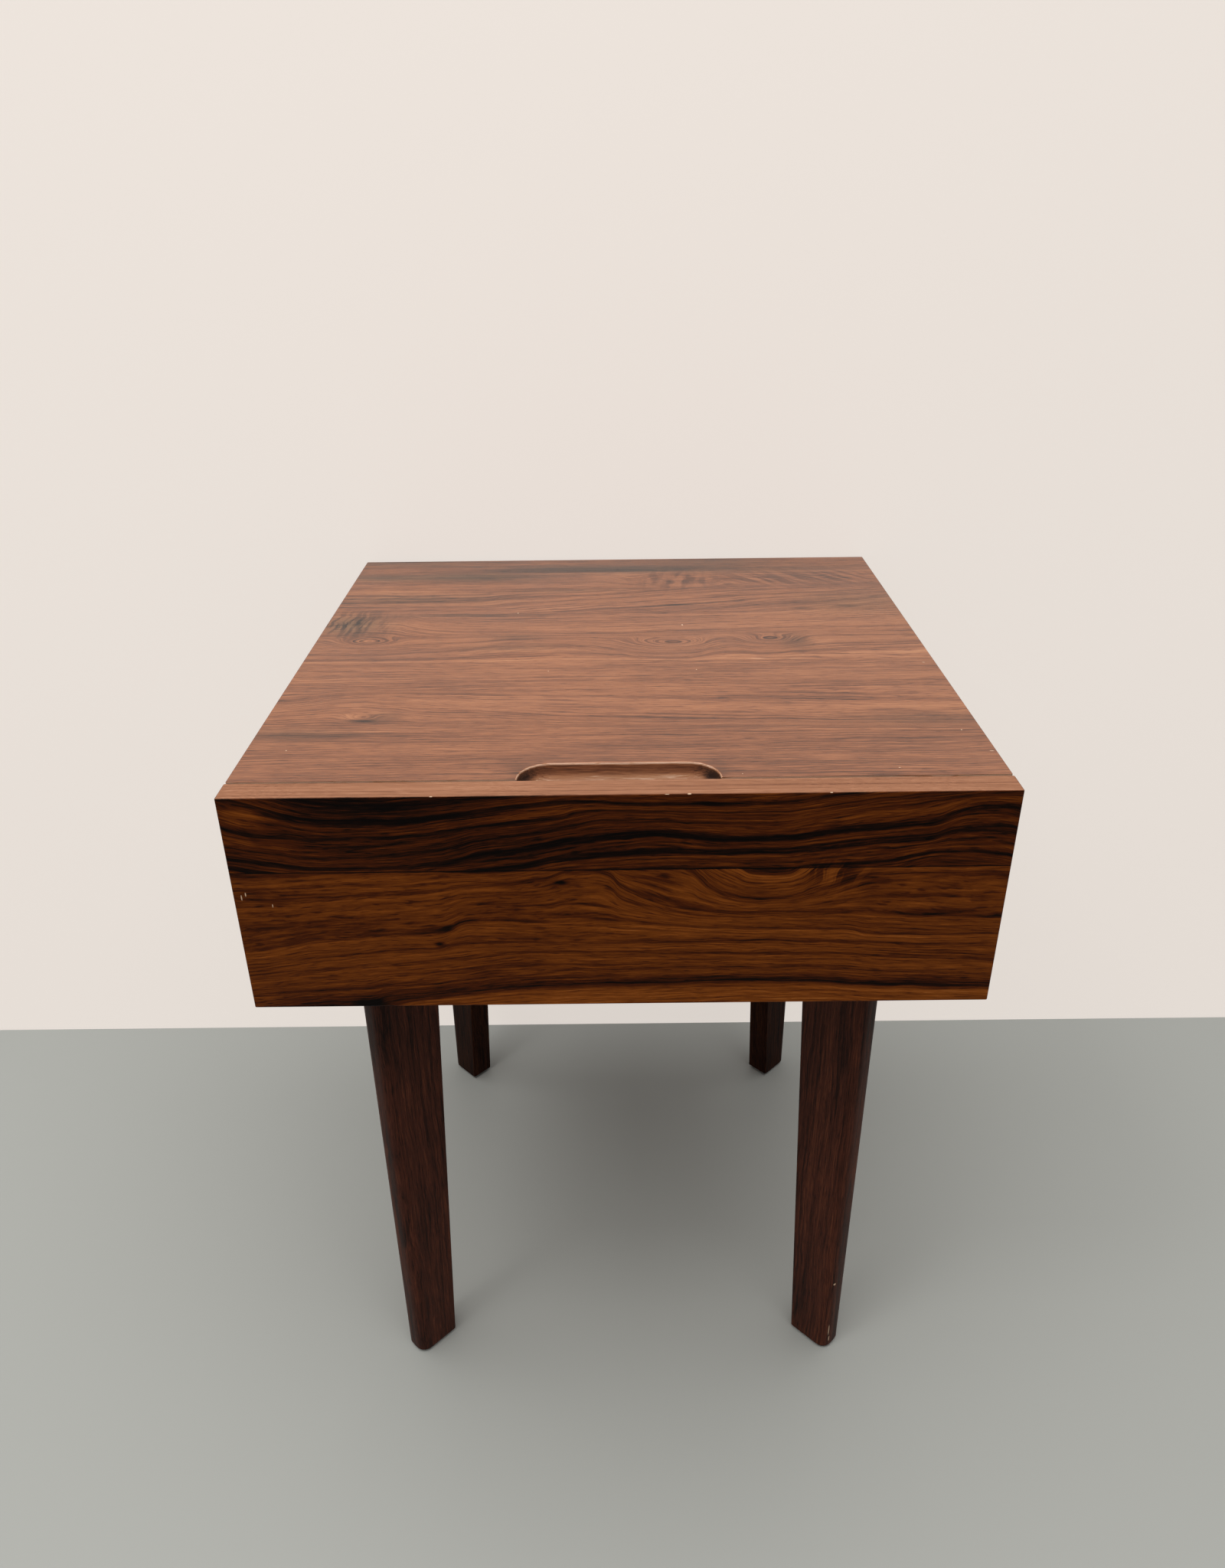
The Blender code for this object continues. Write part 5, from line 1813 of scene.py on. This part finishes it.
@dataclass
class SoftParts:
    """Nylon glides under the feet and clear bumpers behind the drawer front, and the inserts.

    Attributes:
        nail: Radius of a glide's nail, m.
        pad: Thickness of a glide's pad, m.
        dome: A bumper's outline, as shares of its radius and of its thickness.
    """

    nail: float = 0.0012
    pad: float = 0.0016
    dome: tuple[tuple[float, float], ...] = ((0.0, 1.0), (0.5, 0.95), (0.8, 0.72), (0.95, 0.35), (1.0, 0.0),
                                             (0.0, 0.0))

    def build(self) -> None:
        """Make the glides and bumpers, and dress the inserts, which keep their own shape."""
        for end in ENDS:
            for side in SIDES:
                node = f"glide_{end}_{side}"
                low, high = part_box(node)
                tall, radius = high.z - low.z, (high.x - low.x) / 2
                shape = turned([(0.0, tall), (self.nail, tall - 0.0008), (self.nail, self.pad),
                                (radius - 0.0004, self.pad), (radius, self.pad - 0.0004),
                                (radius - 0.0004, 0.0005), (radius - 0.002, 0.0001),
                                (radius - 0.004, 0.0), (0.0, 0.0)])
                middle = (low + high) / 2
                bmesh.ops.translate(shape, vec=(middle.x, middle.y, low.z), verts=shape.verts)
                finished(node + "_moulded", shape, Finish.NYLON, "case", (node,))
        for side in SIDES:
            node = side + "_bumper"
            low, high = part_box(node)
            thick, radius = high.y - low.y, (high.x - low.x) / 2
            shape = turned([(radius * out, thick * up) for out, up in self.dome], 24)
            middle = (low + high) / 2
            place = Matrix.Translation((middle.x, high.y, middle.z)) @ Matrix.Rotation(math.pi / 2, 4, "X")
            bmesh.ops.transform(shape, matrix=place, verts=shape.verts)
            finished(node + "_dome", shape, Finish.RUBBER, "case", (node,))
        for name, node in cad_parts.items():
            if name.startswith("leg_insert_"):
                node.data.materials[0] = Finish.BRASS.material()
                LOG.info("%s: %s", name, Finish.BRASS.value.name)


# ---------------------------------------------------------------- studio

@dataclass
class Studio:
    """A plain pale wall and floor, soft lamps and the camera.

    Attributes:
        wall_gap: From the table's back to the wall, m.
        lens: Of the camera, mm.
        sensor: Long side of the camera's sensor, mm.
        eye: Where the camera stands, m.
        pitch: How far it looks down, degrees.
        yaw: How far it looks left, degrees.
        roll: How far it leans, degrees.
    """

    wall_gap: float = 0.006
    lens: float = 25.89
    sensor: float = 36.0
    eye: tuple[float, float, float] = (-0.0031, -0.8753, 0.9438)
    pitch: float = 27.742
    yaw: float = -0.093
    roll: float = 0.663

    def plane(self, name: str, corners: Matrix, material: bpy.types.Material) -> bpy.types.Object:
        """Make one flat stage piece.

        Args:
            name: Its name.
            corners: Turns, sizes and places a 2 m square.
            material: Its material.

        Returns:
            The stage piece.
        """
        shape = bmesh.new()
        bmesh.ops.create_grid(shape, x_segments=1, y_segments=1, size=1.0, matrix=corners)
        mesh = bpy.data.meshes.new(name)
        shape.to_mesh(mesh)
        shape.free()
        mesh.materials.append(material)
        stage = bpy.data.objects.new(name, mesh)
        bpy.context.scene.collection.objects.link(stage)
        stage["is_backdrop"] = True
        return stage

    def floor(self) -> None:
        """Lay the floor: painted concrete, pale grey and dull, so it only keeps the soft shadow."""
        material, tree = new_material("painted_floor")
        add_surface(tree, {"Base Color": linear("acada7"), "Roughness": 0.6, "IOR": 1.5})
        self.plane("floor", Matrix.Scale(9, 4), material)

    def wall(self) -> None:
        """Stand the wall behind the table: painted plaster, near white and dull.

        It shows from the front only and casts nothing.
        """
        material, tree = new_material("painted_wall")
        paint = add_node(tree, "ShaderNodeBsdfDiffuse", inputs={"Color": linear("8c8680")}).outputs[0]
        glow = add_node(tree, "ShaderNodeEmission", inputs={"Color": linear("e6ded7"),
                                                            "Strength": 0.82}).outputs[0]
        front = add_node(tree, "ShaderNodeAddShader", inputs={0: paint, 1: glow}).outputs[0]
        clear = add_node(tree, "ShaderNodeBsdfTransparent").outputs[0]
        behind = add_node(tree, "ShaderNodeNewGeometry").outputs["Backfacing"]
        both = add_node(tree, "ShaderNodeMixShader", inputs={0: behind, 1: front, 2: clear}).outputs[0]
        add_node(tree, "ShaderNodeOutputMaterial", inputs={"Surface": both})
        _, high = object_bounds()
        place = Matrix.Translation((0, high.y + self.wall_gap, 2.0))
        turn = Matrix.Rotation(math.radians(90), 4, "X")
        wall = self.plane("wall", place @ turn @ Matrix.Diagonal((7, 2.0, 1, 1)), material)
        wall.visible_diffuse = False
        wall.visible_shadow = False
        wall.visible_transmission = False
        wall.visible_volume_scatter = False

    def lamps(self) -> None:
        """Hang one broad soft lamp and a smaller one overhead, and light the room faintly."""
        for name, place, size, power in (("ceiling_softbox", (-0.25, -0.65, 2.7), (3.4, 2.8), 75.0),
                                         ("ceiling_panel", (-1.1, -1.0, 2.7), (0.5, 0.5), 7.5)):
            lamp = bpy.data.lights.new(name, "AREA")
            lamp.shape = "RECTANGLE"
            lamp.size, lamp.size_y = size
            lamp.energy = power
            holder = bpy.data.objects.new(name, lamp)
            holder.location = place
            bpy.context.scene.collection.objects.link(holder)
        world = bpy.data.worlds.new("room")
        bpy.context.scene.world = world
        world.use_nodes = True
        tree = world.node_tree
        tree.nodes.clear()
        path = add_node(tree, "ShaderNodeLightPath").outputs
        seen = add_node(tree, "ShaderNodeBackground", inputs={"Color": linear("e6ded7"),
                                                              "Strength": 1.0}).outputs[0]
        light = add_node(tree, "ShaderNodeBackground", inputs={"Color": (1, 1, 1, 1),
                                                               "Strength": 0.28}).outputs[0]
        mix = add_node(tree, "ShaderNodeMixShader", inputs={0: path["Is Camera Ray"], 1: light,
                                                            2: seen}).outputs[0]
        add_node(tree, "ShaderNodeOutputWorld", inputs={"Surface": mix})

    def camera(self) -> None:
        """Set up the camera."""
        pitch, yaw, roll = (math.radians(angle) for angle in (self.pitch, self.yaw, self.roll))
        ahead = Vector((math.sin(yaw) * math.cos(pitch), math.cos(yaw) * math.cos(pitch), -math.sin(pitch)))
        level = Vector((math.cos(yaw), -math.sin(yaw), 0))
        below = ahead.cross(level)
        across = math.cos(roll) * level + math.sin(roll) * below
        down = -math.sin(roll) * level + math.cos(roll) * below
        data = bpy.data.cameras.new("camera")
        data.lens = self.lens
        data.sensor_fit = "VERTICAL"
        data.sensor_height = self.sensor
        camera = bpy.data.objects.new("camera", data)
        turn = Matrix((across, -down, -ahead)).transposed().to_4x4()
        camera.matrix_world = Matrix.Translation(self.eye) @ turn
        bpy.context.scene.collection.objects.link(camera)
        bpy.context.scene.camera = camera

    def build(self) -> None:
        """Build the whole stage."""
        self.floor()
        self.wall()
        self.lamps()
        self.camera()
        bpy.context.scene.view_settings.view_transform = "Standard"


def main() -> None:
    """Build the table's looks, sub-assembly by sub-assembly."""
    logging.basicConfig(level=logging.INFO, format="%(name)s %(message)s")
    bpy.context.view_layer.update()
    Studio().build()
    Case().build()
    Legs().build()
    Drawer().build()
    Fasteners().build()
    Slides().build()
    SoftParts().build()


if __name__ == "__main__":
    main()
